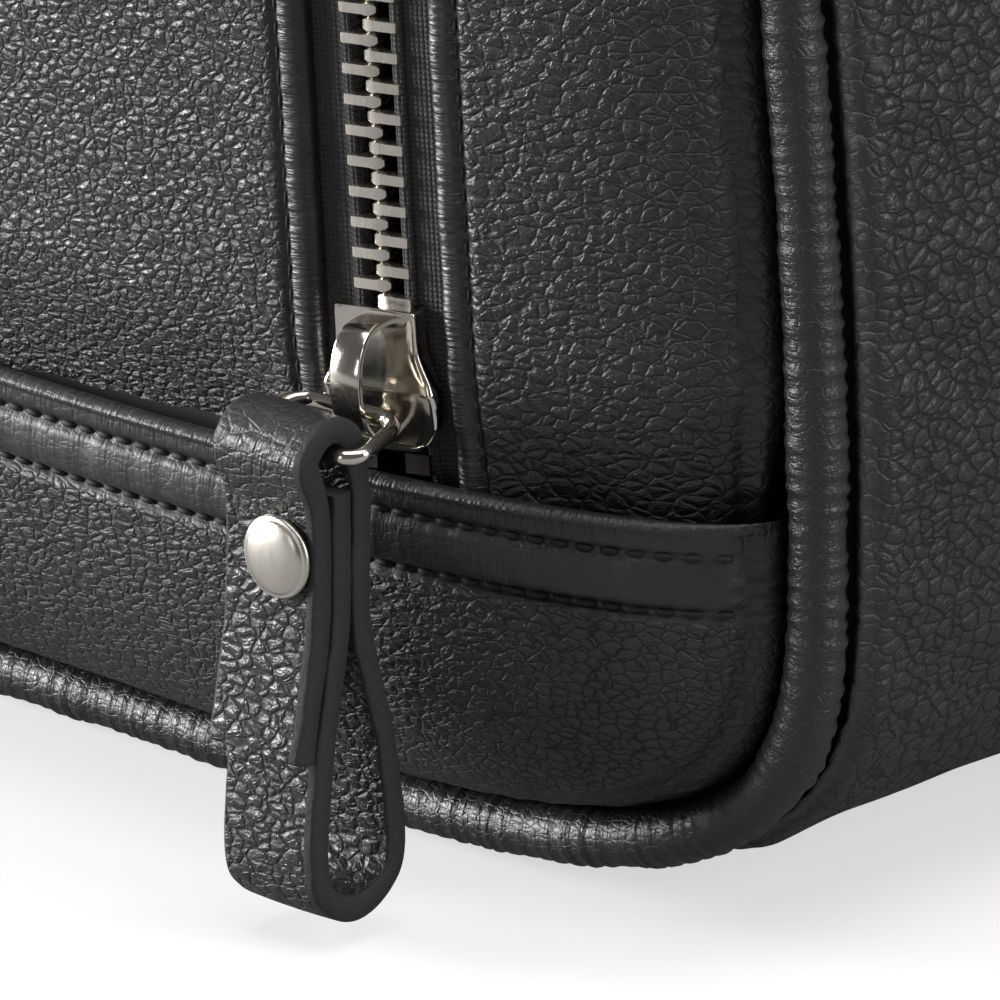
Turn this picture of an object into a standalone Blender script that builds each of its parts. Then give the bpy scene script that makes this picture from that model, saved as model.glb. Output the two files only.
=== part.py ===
"""A leather toiletry bag with a piped front, a zipped front door and a folded pull tab.

The bag stands on z = 0 and faces -Y. Its front and rear are pillow-shaped leather panels that
meet a gusset at two piped seams. A metal zip runs in an upturned U round a door in the front
panel. All lengths are metres.
"""

import math

import bpy
from mathutils import Matrix, Vector

# The seam line where a panel meets its piping, seen from the front
SEAM_HALF_WIDTH = 0.115
SEAM_BOTTOM = 0.0054
SEAM_TOP = 0.160
SHOULDER_DRAW_IN = 0.008
DRAW_IN_START = 0.034
DRAW_IN_HEIGHT = 0.100
CORNER_POWER = 3.6

# How the panels swell out from their seams
GUSSET_HALF_DEPTH = 0.040
SIDE_SWELL = 0.065
BOTTOM_SWELL = 0.028
TOP_SWELL = 0.045
FRONT_BELLY = 0.017
FRONT_BELLY_RISE = 0.0006
BELLY_RISE_START = 0.050
BELLY_RISE_HEIGHT = 0.060
REAR_BELLY = 0.008
SLOPE_STEP = 0.00001
SEAM_SEARCH = 0.060

# Sheet materials and the gaps between neighbours
LEATHER = 0.0012
LINING = 0.0005
TAPE = 0.0005
GAP = 0.0003
LAYER_GAP = 0.0005

# Piping, gusset and base
PIPING_RADIUS = 0.0025
GUSSET_OFFSET = 0.0054
GUSSET_CROWN = 0.002
CROWN_START = 0.012
CROWN_HEIGHT = 0.040
GUSSET_JOIN_HEIGHT = 0.112
LINING_OFFSET = 0.0021
BOARD_HALF_LENGTH = 0.062
BOARD_HALF_DEPTH = 0.033
BOARD = 0.0015

# The band along the top of the lower panel
BAND_BOTTOM = 0.0272
BAND_TOP = 0.035
BAND_RISE = 0.0005
BAND_STEP = 0.0006
BAND_FADE_POWER = 12

# The zip's centre line, an upturned U that leans in beside the seams
ZIP_X = 0.0849
ZIP_X_HEIGHT = 0.0505
ZIP_LEAN_SHARE = 0.0684
ZIP_TOP = 0.135
ZIP_CORNER = 0.022
ZIP_LEATHER_GAP = 0.0056
ZIP_LINING_GAP = 0.0072
FOLD_HEIGHT = 0.05045
FOLD_GAP = 0.0002

# The chain
CHAIN_SINK = 0.0019
PITCH = 0.00243
TOOTH = 0.0010
TOOTH_TIP = 0.00065
TOOTH_HALF_HEIGHT = 0.0010
CORD_INNER = 0.0019
CORD_OUTER = 0.00275
CORD_HALF_HEIGHT = 0.0009
TAPE_INNER = 0.0031
TAPE_OUTER = 0.0098
TAPE_TUCK = 0.0060
TUCK_SINK = 0.0009
STOP_HALF_LENGTH = 0.0008
STOP_HALF_WIDTH = 0.0011
STOP_DROP = 0.0069

# The slider, in its own frame: across, out of the face, up along the chain
SLIDER_HEIGHT = 0.0437
SLIDER_HALF_LENGTH = 0.00565
SLIDER_NECK = 0.00375
SLIDER_FLARE_AT = 0.0024
SLIDER_SHOULDER = 0.0051
SLIDER_SHOULDER_AT = -0.0008
SLIDER_HIP_AT = -0.0036
SLIDER_TAIL = 0.0040
SLIDER_TAIL_AT = -0.0050
SLIDER_FOOT = 0.0024
SLIDER_PLATE_TOP = 0.0022
CHANNEL_HALF_HEIGHT = 0.00118
CHANNEL_NECK = 0.00305
CHANNEL_TAIL = 0.0044
SPREAD_START = 0.0020
SPREAD_END = -0.0030
SPREAD = 0.00135
POST_TIP_AT = -0.0012
POST_HALF_WIDTH = 0.00045
SLOT_HALF_HEIGHT = 0.0007
SLOT_INNER = 0.0022
CUT_OVERRUN = 0.002
CHANNEL_OVERLAP = 0.0001

# The bridge over the slider, the ring through it and the pull tab on the ring
BRIDGE_HALF_WIDTH = 0.00135
BRIDGE_SHIFT = -0.0003
BRIDGE_RISE = 0.0003
BRIDGE_THICKNESS = 0.0010
BRIDGE_HALF_LENGTH = 0.0045
BRIDGE_HEIGHT = 0.0041
BRIDGE_POWER = 0.7
BRIDGE_SEAT = 0.00005
RING_WIRE_RADIUS = 0.00065
RING_LENGTH = 0.0140
RING_CORNER = 0.0019
RING_SHIFT = -0.0015
RING_BACK_OUT = 0.0040
RING_BACK_UP = -0.0014
RING_FRONT_OUT = 0.0108
RING_FRONT_UP = -0.0033
RING_TWIST = -6.0
TAB_HALF_WIDTH = 0.00475
TAB_SHIFT = -0.0003
TAB_TWIST = -3.0
TAB_LEATHER = 0.0020
TAB_FOLD_RADIUS = 0.0026
TAB_HANG = 0.00065
TAB_SET_BACK = 0.00095
TAB_LAYER_PITCH = 0.00225
TAB_INNER_END = 0.0026
TAB_PINCH_START = 0.0042
TAB_PINCH_END = 0.0130
TAB_FLAP_END = 0.0235
TAB_LOOP_LENGTH = 0.0377
TAB_LOOP_FRONT = 0.0014
TAB_LOOP_BACK = 0.0072
LOOP_DROP_SHARES = (0.31, 0.57)
LOOP_FRONT_SHARES = (0.42, 0.76)
LOOP_BACK_SHARES = (0.36, 0.72)
RIVET_DROP = 0.0079
RIVET_SHIFT = 0.0007
RIVET_RADIUS = 0.0036
RIVET_CAP = 0.0011
RIVET_SHANK = 0.0011
RIVET_HOLE = 0.0013
RIVET_BACK_RADIUS = 0.0030
RIVET_BACK = 0.0007

# How finely each form is divided
TUBE_SIDES = 6
RING_SIDES = 8
TURN_STEPS = 20
CORNER_STEPS = 10
SIDE_STEPS = 4
RING_CORNER_STEPS = 4
LOOP_STEPS = 4
FOLD_STEPS = 6
CURVE_STEPS = 3
SHARP_ANGLE = 35
TOOTH_CORNERS = 6
RUN_STEPS = 7
TOP_STEPS = 4
LEATHER_ARC_STEPS = 6
TAPE_ARC_STEPS = 8
BISECTIONS = 30

ROW_SHARES = (1.0, 0.965, 0.88, 0.72, 0.48, 0.24)
BORDER_SHARES = (0.0, 0.28, 0.58, 0.80, 0.93, 1.0)
LOWER_RISE_SHARES = (0.0, 0.028, 0.10, 0.24, 0.46, 0.72)
TOP_DROP_SHARES = (0.62, 0.30, 0.11, 0.025, 0.0)
REAR_MIDDLE_SHARES = (0.30, 0.64)
CROWN_SHARES = ((0.55, 1.0), (0.86, 0.78), (1.0, 0.38), (1.0, 0.0))

LEATHER_COLOUR = (0.012, 0.012, 0.013, 1.0)
LINING_COLOUR = (0.020, 0.020, 0.022, 1.0)
TAPE_COLOUR = (0.006, 0.006, 0.007, 1.0)
BOARD_COLOUR = (0.11, 0.095, 0.075, 1.0)
NICKEL_COLOUR = (0.72, 0.69, 0.63, 1.0)

ZIP_LEAN = math.atan(ZIP_LEAN_SHARE)
CORNER_CENTRE_Z = ZIP_TOP - ZIP_CORNER
TAPE_SINK = CHAIN_SINK - TAPE / 2
LINING_SINK = TAPE_SINK + TAPE + 2 * LAYER_GAP
LOWER_LINING_SINK = LINING_SINK + TUCK_SINK
REAR_LINING_SINK = LEATHER + 2 * LAYER_GAP
PIPING_OFFSET = PIPING_RADIUS + GAP
FRONT = -1.0
REAR = 1.0


def clear_scene():
    """Remove whatever the scene holds."""
    for obj in list(bpy.data.objects):
        bpy.data.objects.remove(obj, do_unlink=True)


def material(name, colour, roughness, metallic=0.0):
    """A plain Principled material."""
    made = bpy.data.materials.new(name)
    made.use_nodes = True
    shader = made.node_tree.nodes["Principled BSDF"]
    shader.inputs["Base Color"].default_value = colour
    shader.inputs["Roughness"].default_value = roughness
    shader.inputs["Metallic"].default_value = metallic
    made.diffuse_color = colour
    return made


def add(name, points, faces, finish, place=None):
    """Make one closed mesh object, facing out and shaded smooth between sharp edges."""
    mesh = bpy.data.meshes.new(name)
    mesh.from_pydata([tuple(point) for point in points], [], faces)
    if signed_volume(points, faces) < 0:
        mesh.flip_normals()
    mesh.materials.append(finish)
    mesh.shade_smooth()
    mesh.set_sharp_from_angle(angle=math.radians(SHARP_ANGLE))
    obj = bpy.data.objects.new(name, mesh)
    bpy.context.scene.collection.objects.link(obj)
    if place is not None:
        obj.parent = place
    return obj


def signed_volume(points, faces):
    """Six times the volume inside the faces, negative when they face in."""
    total = 0.0
    for face in faces:
        first = Vector(points[face[0]])
        for second, third in zip(face[1:], face[2:]):
            total += first.dot(Vector(points[second]).cross(Vector(points[third])))
    return total


def empty(name, matrix, parent=None):
    """A carrier for pieces that share one frame or turn about one axis."""
    made = bpy.data.objects.new(name, None)
    bpy.context.scene.collection.objects.link(made)
    made.parent = parent
    made.matrix_local = matrix
    return made


def smooth(share):
    """An S-shaped ramp from 0 to 1."""
    held = min(max(share, 0.0), 1.0)
    return held * held * (3 - 2 * held)


def mixed(first, second, share):
    """The point that lies this share of the way from first to second."""
    return tuple(a + (b - a) * share for a, b in zip(first, second))


def half_width(z):
    """The seam's half width at a height, without its corners: the shoulders draw in."""
    return SEAM_HALF_WIDTH - SHOULDER_DRAW_IN * smooth((z - DRAW_IN_START) / DRAW_IN_HEIGHT)


def end_share(z):
    """0 away from the bottom and top seams, 1 on them."""
    return max(0.0, 1 - (z - SEAM_BOTTOM) / BOTTOM_SWELL, 1 - (SEAM_TOP - z) / TOP_SWELL)


def nearness(x, z):
    """0 deep inside a panel, 1 on its seam, more than 1 outside it."""
    side = max(0.0, 1 - (half_width(z) - abs(x)) / SIDE_SWELL)
    return (side**CORNER_POWER + end_share(z) ** CORNER_POWER) ** (1 / CORNER_POWER)


def seam_half(z):
    """The seam's half width at a height, corners included."""
    side = (1 - min(1.0, end_share(z)) ** CORNER_POWER) ** (1 / CORNER_POWER)
    return half_width(z) - SIDE_SWELL * (1 - side)


def belly(facing, z):
    """How far a panel stands out from its seam where it is fullest."""
    if facing == REAR:
        return REAR_BELLY
    return FRONT_BELLY + FRONT_BELLY_RISE * smooth((z - BELLY_RISE_START) / BELLY_RISE_HEIGHT)


def swell(facing, x, z):
    """How far a panel's outer face stands out from its seam: a quarter ellipse from the edge in."""
    return belly(facing, z) * math.sqrt(max(0.0, 1 - nearness(x, z) ** 2))


def level(facing, x, out, z):
    """A value that is 1 on the panel's outer face, less inside and more outside."""
    return nearness(x, z) ** 2 + (out / belly(facing, z)) ** 2


def skin_point(facing, x, z, sink):
    """The point below (x, z) on a panel's outer face, sunk into the leather along its normal."""
    out = swell(facing, x, z)
    step = SLOPE_STEP
    slope = Vector((
        level(facing, x + step, out, z) - level(facing, x - step, out, z),
        facing * (level(facing, x, out + step, z) - level(facing, x, out - step, z)),
        level(facing, x, out, z + step) - level(facing, x, out, z - step),
    )).normalized()
    return Vector((x, facing * (GUSSET_HALF_DEPTH + out), z)) - slope * sink, slope


def skin(facing, rows, sinks):
    """Rows of points on a panel's face, each row sunk by its own amount. A raised row dies out
    towards the seam, where it would run into the piping."""
    grid = []
    for row, sink in zip(rows, sinks):
        points = []
        for x, z in row:
            kept = 1 - nearness(x, z) ** BAND_FADE_POWER if sink < 0 else 1
            points.append(skin_point(facing, x, z, sink * kept)[0])
        grid.append(points)
    return grid


def grid_faces(rows, columns, first, flipped):
    """Two triangles for each cell of a grid of points, split the same way on both faces of a sheet."""
    faces = []
    for row in range(rows - 1):
        for column in range(columns - 1):
            corner = first + row * columns + column
            above = corner + columns
            faces.append((corner, corner + 1, above + 1))
            faces.append((corner, above + 1, above))
    return [face[::-1] for face in faces] if flipped else faces


def rim_faces(rows, columns):
    """Walls that join the edge of a grid to the same edge of the grid that follows it."""
    other = rows * columns
    edge = list(range(columns - 1))
    edge += [row * columns + columns - 1 for row in range(rows - 1)]
    edge += [other - 1 - column for column in range(columns - 1)]
    edge += [row * columns for row in range(rows - 1, 0, -1)]
    faces = []
    for here, there in zip(edge, edge[1:] + edge[:1]):
        faces.append((there, here, other + here))
        faces.append((there, other + here, other + there))
    return faces


def sheet(name, outer, inner, finish):
    """A closed sheet between two grids of points."""
    rows, columns = len(outer), len(outer[0])
    points = [point for row in outer + inner for point in row]
    faces = grid_faces(rows, columns, 0, False)
    faces += grid_faces(rows, columns, rows * columns, True)
    faces += rim_faces(rows, columns)
    return add(name, points, faces, finish)


def panel(name, facing, rows, sinks, thickness, finish):
    """A sheet of leather, lining or tape that follows a panel's face."""
    inner = [max(sink, 0.0) + thickness for sink in sinks]
    return sheet(name, skin(facing, rows, sinks), skin(facing, rows, inner), finish)


def across(half, z, shares=ROW_SHARES):
    """A row of points at one height, closer together towards its two ends."""
    steps = [-share for share in shares] + [0.0] + list(shares[::-1])
    return [(half * share, z) for share in steps]


def lower_rows(top_heights):
    """Rows from the bottom seam up to the top of the lower panel."""
    span = BAND_BOTTOM - SEAM_BOTTOM
    heights = [SEAM_BOTTOM + span * share for share in LOWER_RISE_SHARES]
    return [across(seam_half(z), z) for z in heights + top_heights]


def rear_rows():
    """Rows over the whole rear panel."""
    low = [SEAM_BOTTOM + BOTTOM_SWELL * share for share in LOWER_RISE_SHARES]
    high = [SEAM_TOP - TOP_SWELL * share for share in TOP_DROP_SHARES]
    middle = [low[-1] + (high[0] - low[-1]) * share for share in REAR_MIDDLE_SHARES]
    return [across(seam_half(z), z) for z in low + middle + high]


def zip_x(z):
    """Where the zip's right run is at a height."""
    return ZIP_X - ZIP_LEAN_SHARE * (z - ZIP_X_HEIGHT)


def corner_centre_x():
    """The centre of the zip's rounded corner."""
    return zip_x(CORNER_CENTRE_Z) - ZIP_CORNER / math.cos(ZIP_LEAN)


def run_length():
    """How long the straight run is, from the top of the band to the corner."""
    top = CORNER_CENTRE_Z + ZIP_CORNER * math.sin(ZIP_LEAN)
    return (top - BAND_TOP) / math.cos(ZIP_LEAN)


def arc_length():
    """How long the rounded corner is."""
    return ZIP_CORNER * (math.pi / 2 - ZIP_LEAN)


def half_length():
    """From the top of the band on the right to the middle of the top run."""
    return run_length() + arc_length() + corner_centre_x()


def zip_path(distance):
    """A point on the zip's centre line and the angle of its outward normal, 0 towards +X."""
    if distance > half_length():
        (x, z), angle = zip_path(2 * half_length() - distance)
        return (-x, z), math.pi - angle
    if distance < run_length():
        z = BAND_TOP + distance * math.cos(ZIP_LEAN)
        return (zip_x(z), z), ZIP_LEAN
    if distance < run_length() + arc_length():
        angle = ZIP_LEAN + (distance - run_length()) / ZIP_CORNER
        x = corner_centre_x() + ZIP_CORNER * math.cos(angle)
        return (x, CORNER_CENTRE_Z + ZIP_CORNER * math.sin(angle)), angle
    return (half_length() - distance, ZIP_TOP), math.pi / 2


def beside_zip(distance, gap):
    """The point beside the zip's centre line, outside the U when the gap is positive."""
    (x, z), angle = zip_path(distance)
    return x + gap * math.cos(angle), z + gap * math.sin(angle)


def distance_at(z):
    """How far along the right run a height is."""
    return (z - BAND_TOP) / math.cos(ZIP_LEAN)


def stations(start, arc_steps):
    """Distances along the whole U from a starting distance to the same one on the left."""
    run, arc = run_length(), arc_length()
    half = [start + (run - start) * step / RUN_STEPS for step in range(RUN_STEPS)]
    half += [run + arc * step / arc_steps for step in range(arc_steps)]
    half += [run + arc + corner_centre_x() * step / TOP_STEPS for step in range(TOP_STEPS)]
    whole = 2 * half_length()
    return half + [half_length()] + [whole - distance for distance in half[::-1]]


def seam_from(point, angle):
    """The point on the seam that lies from here in a direction."""
    low, high = 0.0, SEAM_SEARCH
    for _ in range(BISECTIONS):
        middle = (low + high) / 2
        x = point[0] + middle * math.cos(angle)
        z = point[1] + middle * math.sin(angle)
        if nearness(x, z) < 1:
            low = middle
        else:
            high = middle
    return x, z


def border_rows(gap, shares):
    """Rows from beside the zip out to the seam, level beside the runs and upright over the top."""
    rows = []
    for distance in stations(GAP, LEATHER_ARC_STEPS):
        angle = zip_path(distance)[1]
        turned = min(angle, math.pi - angle) - ZIP_LEAN
        turned *= (math.pi / 2) / (math.pi / 2 - ZIP_LEAN)
        aim = turned if angle <= math.pi / 2 else math.pi - turned
        inner = beside_zip(distance, gap)
        seam = seam_from(inner, aim)
        rows.append([mixed(inner, seam, share) for share in shares])
    return rows


def door_half(z, gap):
    """The half width of what fits inside the U at a height, this far from the chain's centre."""
    radius = ZIP_CORNER - gap
    if z < CORNER_CENTRE_Z + radius * math.sin(ZIP_LEAN):
        return zip_x(z) - gap / math.cos(ZIP_LEAN)
    rise = min(radius, z - CORNER_CENTRE_Z)
    return corner_centre_x() + math.sqrt(max(0.0, radius**2 - rise**2))


def door_rows(gap):
    """Rows of the door, from just above the fold to beside the top run."""
    radius = ZIP_CORNER - gap
    foot = FOLD_HEIGHT + FOLD_GAP
    turn = CORNER_CENTRE_Z + radius * math.sin(ZIP_LEAN)
    heights = [foot + (turn - foot) * step / RUN_STEPS for step in range(RUN_STEPS)]
    for step in range(LEATHER_ARC_STEPS + 1):
        angle = ZIP_LEAN + (math.pi / 2 - ZIP_LEAN) * step / LEATHER_ARC_STEPS
        heights.append(CORNER_CENTRE_Z + radius * math.sin(angle))
    return [across(door_half(z, gap), z) for z in heights]


def root_rows(gap):
    """Rows of the strip between the band and the fold."""
    low, high = BAND_TOP + LAYER_GAP, FOLD_HEIGHT - FOLD_GAP
    heights = [low, (low + high) / 2, high]
    return [across(door_half(z, gap), z) for z in heights]


def make_front(leather, lining):
    """The four leather pieces of the front and what lines each of them."""
    heights = [BAND_BOTTOM - BAND_STEP, BAND_BOTTOM, BAND_TOP]
    rows = lower_rows(heights)
    sinks = [0.0] * (len(rows) - 2) + [-BAND_RISE, -BAND_RISE]
    panel("front_lower_panel", FRONT, rows, sinks, LEATHER, leather)
    rows = lower_rows([BAND_TOP - GAP])
    panel("front_lower_lining", FRONT, rows, [LOWER_LINING_SINK] * len(rows), LINING, lining)

    rows = root_rows(ZIP_LEATHER_GAP)
    panel("door_root", FRONT, rows, [0.0] * len(rows), LEATHER, leather)
    rows = root_rows(ZIP_LINING_GAP)
    panel("door_root_lining", FRONT, rows, [LINING_SINK] * len(rows), LINING, lining)

    rows = door_rows(ZIP_LEATHER_GAP)
    panel("door_panel", FRONT, rows, [0.0] * len(rows), LEATHER, leather)
    rows = door_rows(ZIP_LINING_GAP)
    panel("door_lining", FRONT, rows, [LINING_SINK] * len(rows), LINING, lining)

    rows = border_rows(ZIP_LEATHER_GAP, BORDER_SHARES)
    panel("front_border", FRONT, rows, [0.0] * len(rows), LEATHER, leather)
    rows = border_rows(ZIP_LINING_GAP, BORDER_SHARES[::2] + BORDER_SHARES[-1:])
    panel("front_border_lining", FRONT, rows, [LINING_SINK] * len(rows), LINING, lining)


def make_rear(leather, lining):
    """The rear panel and its lining."""
    rows = rear_rows()
    panel("rear_panel", REAR, rows, [0.0] * len(rows), LEATHER, leather)
    panel("rear_lining", REAR, rows, [REAR_LINING_SINK] * len(rows), LINING, lining)


def corner_points(swell_height, upwards):
    """Points round one right-hand corner of the seam, from its side towards its end."""
    points = []
    for step in range(CORNER_STEPS + 1):
        angle = math.pi / 2 * step / CORNER_STEPS
        out = math.cos(angle) ** (2 / CORNER_POWER)
        along = math.sin(angle) ** (2 / CORNER_POWER)
        z = SEAM_TOP - swell_height * (1 - along) if upwards else (
            SEAM_BOTTOM + swell_height * (1 - along))
        points.append((half_width(z) - SIDE_SWELL * (1 - out), z))
    return points


def seam_loop():
    """The whole seam, from the middle of the bottom up the right side and round."""
    low = corner_points(BOTTOM_SWELL, False)[::-1]
    high = corner_points(TOP_SWELL, True)
    rise = (high[0][1] - low[-1][1]) / SIDE_STEPS
    side = [low[-1][1] + rise * step for step in range(1, SIDE_STEPS)]
    right = low + [(half_width(z), z) for z in side] + high
    left = [(-x, z) for x, z in right[::-1]]
    return [(0.0, SEAM_BOTTOM)] + right + [(0.0, SEAM_TOP)] + left


def seam_normal(x, z):
    """The direction out of the bag at a point on the seam."""
    step = SLOPE_STEP
    slope = Vector((
        nearness(x + step, z) - nearness(x - step, z),
        nearness(x, z + step) - nearness(x, z - step),
    ))
    return slope.normalized()


def beside_seam(point, offset):
    """The point this far outside the seam."""
    normal = seam_normal(*point)
    return point[0] + normal.x * offset, point[1] + normal.y * offset


def closed_tube(name, centres, sides, radius, reference, finish, place=None):
    """A round tube along a closed flat loop, whose plane has this normal."""
    points, faces = [], []
    count = len(centres)
    for index, centre in enumerate(centres):
        ahead = centres[(index + 1) % count] - centre
        behind = centre - centres[index - 1]
        along = (ahead.normalized() + behind.normalized()).normalized()
        out = along.cross(reference)
        for side in range(sides):
            angle = 2 * math.pi * (side + 0.5) / sides
            offset = out * math.cos(angle) + reference * math.sin(angle)
            points.append(centre + offset * radius)
    for index in range(count):
        here, there = index * sides, (index + 1) % count * sides
        for side in range(sides):
            after = (side + 1) % sides
            faces.append((here + side, here + after, there + after, there + side))
    return add(name, points, faces, finish, place)


def make_piping(leather):
    """A cord covered in leather along each seam."""
    loop = [beside_seam(point, PIPING_OFFSET) for point in seam_loop()]
    for name, facing in (("front_piping", FRONT), ("rear_piping", REAR)):
        centres = [Vector((x, facing * GUSSET_HALF_DEPTH, z)) for x, z in loop]
        closed_tube(name, centres, TUBE_SIDES, PIPING_RADIUS, Vector((0, 1, 0)), leather)


def gusset_edge(offset):
    """How far towards the front the gusset reaches before it meets the piping."""
    reach = PIPING_RADIUS + GAP
    return GUSSET_HALF_DEPTH - math.sqrt(reach**2 - (offset - PIPING_OFFSET) ** 2)


def gusset_strip(name, loop, outer_offset, thickness, crown, finish):
    """A strip across the bag's depth along part of the seam, crowned away from the base."""
    inner_offset = outer_offset - thickness
    edge = gusset_edge(inner_offset)
    grids = []
    for offset in (outer_offset, inner_offset):
        rows = []
        for point in loop:
            fullness = crown * smooth((point[1] - CROWN_START) / CROWN_HEIGHT)
            row = []
            for share in (-1.0, 0.0, 1.0):
                x, z = beside_seam(point, offset + fullness * (1 - share**2))
                row.append(Vector((x, share * edge, z)))
            rows.append(row)
        grids.append(rows)
    return sheet(name, grids[0], grids[1], finish)


def make_gusset(leather, lining, board):
    """The gusset in two lengths, its lining and the stiff board in the base."""
    loop = seam_loop()
    right = loop[1:len(loop) // 2]
    joint = half_width(GUSSET_JOIN_HEIGHT), GUSSET_JOIN_HEIGHT
    under = [p for p in right if p[1] < GUSSET_JOIN_HEIGHT - GAP] + [joint]
    above = half_width(joint[1] + GAP), joint[1] + GAP
    over = [above] + [p for p in right if p[1] > above[1] + GAP]
    lower = [(-x, z) for x, z in under[::-1]] + [loop[0]] + under
    upper = over + [loop[len(loop) // 2]] + [(-x, z) for x, z in over[::-1]]
    gusset_strip("gusset_lower", lower, GUSSET_OFFSET, LEATHER, GUSSET_CROWN, leather)
    gusset_strip("gusset_top", upper, GUSSET_OFFSET, LEATHER, GUSSET_CROWN, leather)
    inner = [loop[0]] + right + [loop[len(loop) // 2]]
    inner += [(-x, z) for x, z in right[::-1]]
    gusset_strip("gusset_lining", inner, LINING_OFFSET, LINING, 0.0, lining)
    bottom = SEAM_BOTTOM - GUSSET_OFFSET + LEATHER + GAP
    box("base_board", (-BOARD_HALF_LENGTH, -BOARD_HALF_DEPTH, bottom),
        (BOARD_HALF_LENGTH, BOARD_HALF_DEPTH, bottom + BOARD), board)


def box(name, low, high, finish, place=None):
    """A plain block between two corners."""
    points = [(x, y, z) for x in (low[0], high[0]) for y in (low[1], high[1])
              for z in (low[2], high[2])]
    faces = [(0, 1, 3, 2), (4, 6, 7, 5), (0, 4, 5, 1), (2, 3, 7, 6), (0, 2, 6, 4), (1, 5, 7, 3)]
    return add(name, points, faces, finish, place)


def chain_frame(distance):
    """A point of the chain with its directions: away from the door, out of the face, along."""
    (x, z), _ = zip_path(distance)
    centre, normal = skin_point(FRONT, x, z, CHAIN_SINK)
    ahead = skin_point(FRONT, *zip_path(distance + SLOPE_STEP)[0], CHAIN_SINK)[0]
    behind = skin_point(FRONT, *zip_path(distance - SLOPE_STEP)[0], CHAIN_SINK)[0]
    along = (ahead - behind).normalized()
    side = along.cross(normal).normalized()
    return centre, side, normal, along


def spread_at(distance):
    """How far the slider's post parts each row from the centre here."""
    above = distance - distance_at(SLIDER_HEIGHT)
    share = (SPREAD_START - above) / (SPREAD_START - SPREAD_END)
    return SPREAD * min(max(share, 0.0), 1.0)


def teeth_row(name, first, last, side, finish):
    """One row of teeth on the corded edge that carries them. Side is 1 on the bag, -1 on the door."""
    phase = PITCH / 2 if side < 0 else 0.0
    begin = math.ceil((first - phase) / PITCH)
    end = math.floor((last - phase) / PITCH)
    points, faces = [], []
    for number in range(begin, end + 1):
        middle = number * PITCH + phase
        for distance in (middle - TOOTH / 2, middle + TOOTH / 2):
            centre, aside, normal, _ = chain_frame(distance)
            spread = spread_at(distance)
            for reach, height in (
                (CORD_OUTER, -CORD_HALF_HEIGHT),
                (CORD_OUTER, CORD_HALF_HEIGHT),
                (CORD_INNER, CORD_HALF_HEIGHT),
                (CORD_INNER, -CORD_HALF_HEIGHT),
                (-TOOTH_TIP, TOOTH_HALF_HEIGHT),
                (-TOOTH_TIP, -TOOTH_HALF_HEIGHT),
            ):
                points.append(centre + aside * side * (reach + spread) + normal * height)
        start = (number - begin) * 2 * TOOTH_CORNERS
        stop = start + TOOTH_CORNERS
        faces.append((start, start + 1, stop + 1, stop))
        faces.append((start + 1, start + 2, stop + 2, stop + 1))
        faces.append((start + 3, start, stop, stop + 3))
        faces.append((start + 2, start + 4, stop + 4, stop + 2))
        faces.append((start + 4, start + 5, stop + 5, stop + 4))
        faces.append((start + 5, start + 3, stop + 3, stop + 5))
        faces.append((start + 3, start + 5, start + 4, start + 2))
        faces.append((stop + 2, stop + 4, stop + 5, stop + 3))
        if number < end:
            after = stop + TOOTH_CORNERS
            for here, there in ((0, 1), (1, 2), (2, 3), (3, 0)):
                faces.append((stop + here, stop + there, after + there, after + here))
    tail = len(points) - TOOTH_CORNERS
    faces.append((3, 2, 1, 0))
    faces.append((tail, tail + 1, tail + 2, tail + 3))
    return add(name, points, faces, finish)


def tape_rows(distances, side):
    """Rows across one side of the zip's tape."""
    rows = []
    for distance in distances:
        inner = beside_zip(distance, side * (TAPE_INNER + spread_at(distance)))
        outer = beside_zip(distance, side * TAPE_OUTER)
        rows.append([inner, outer])
    return rows


def make_tape(name, distances, side, finish):
    """One side of the zip's woven tape."""
    rows = tape_rows(distances, side)
    sinks = [TAPE_SINK + (TUCK_SINK if row[0][1] < BAND_TOP else 0.0) for row in rows]
    panel(name, FRONT, rows, sinks, TAPE, finish)


def make_stop(name, distance, reach, half_width_here, finish):
    """A small block of metal clamped on the end of the rows."""
    centre, aside, normal, along = chain_frame(distance)
    matrix = Matrix((aside, normal, along)).transposed().to_4x4()
    matrix.translation = centre + aside * reach
    place = empty(name + "_place", matrix)
    size = (half_width_here, TOOTH_HALF_HEIGHT, STOP_HALF_LENGTH)
    box(name, tuple(-part for part in size), size, finish, place)


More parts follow.
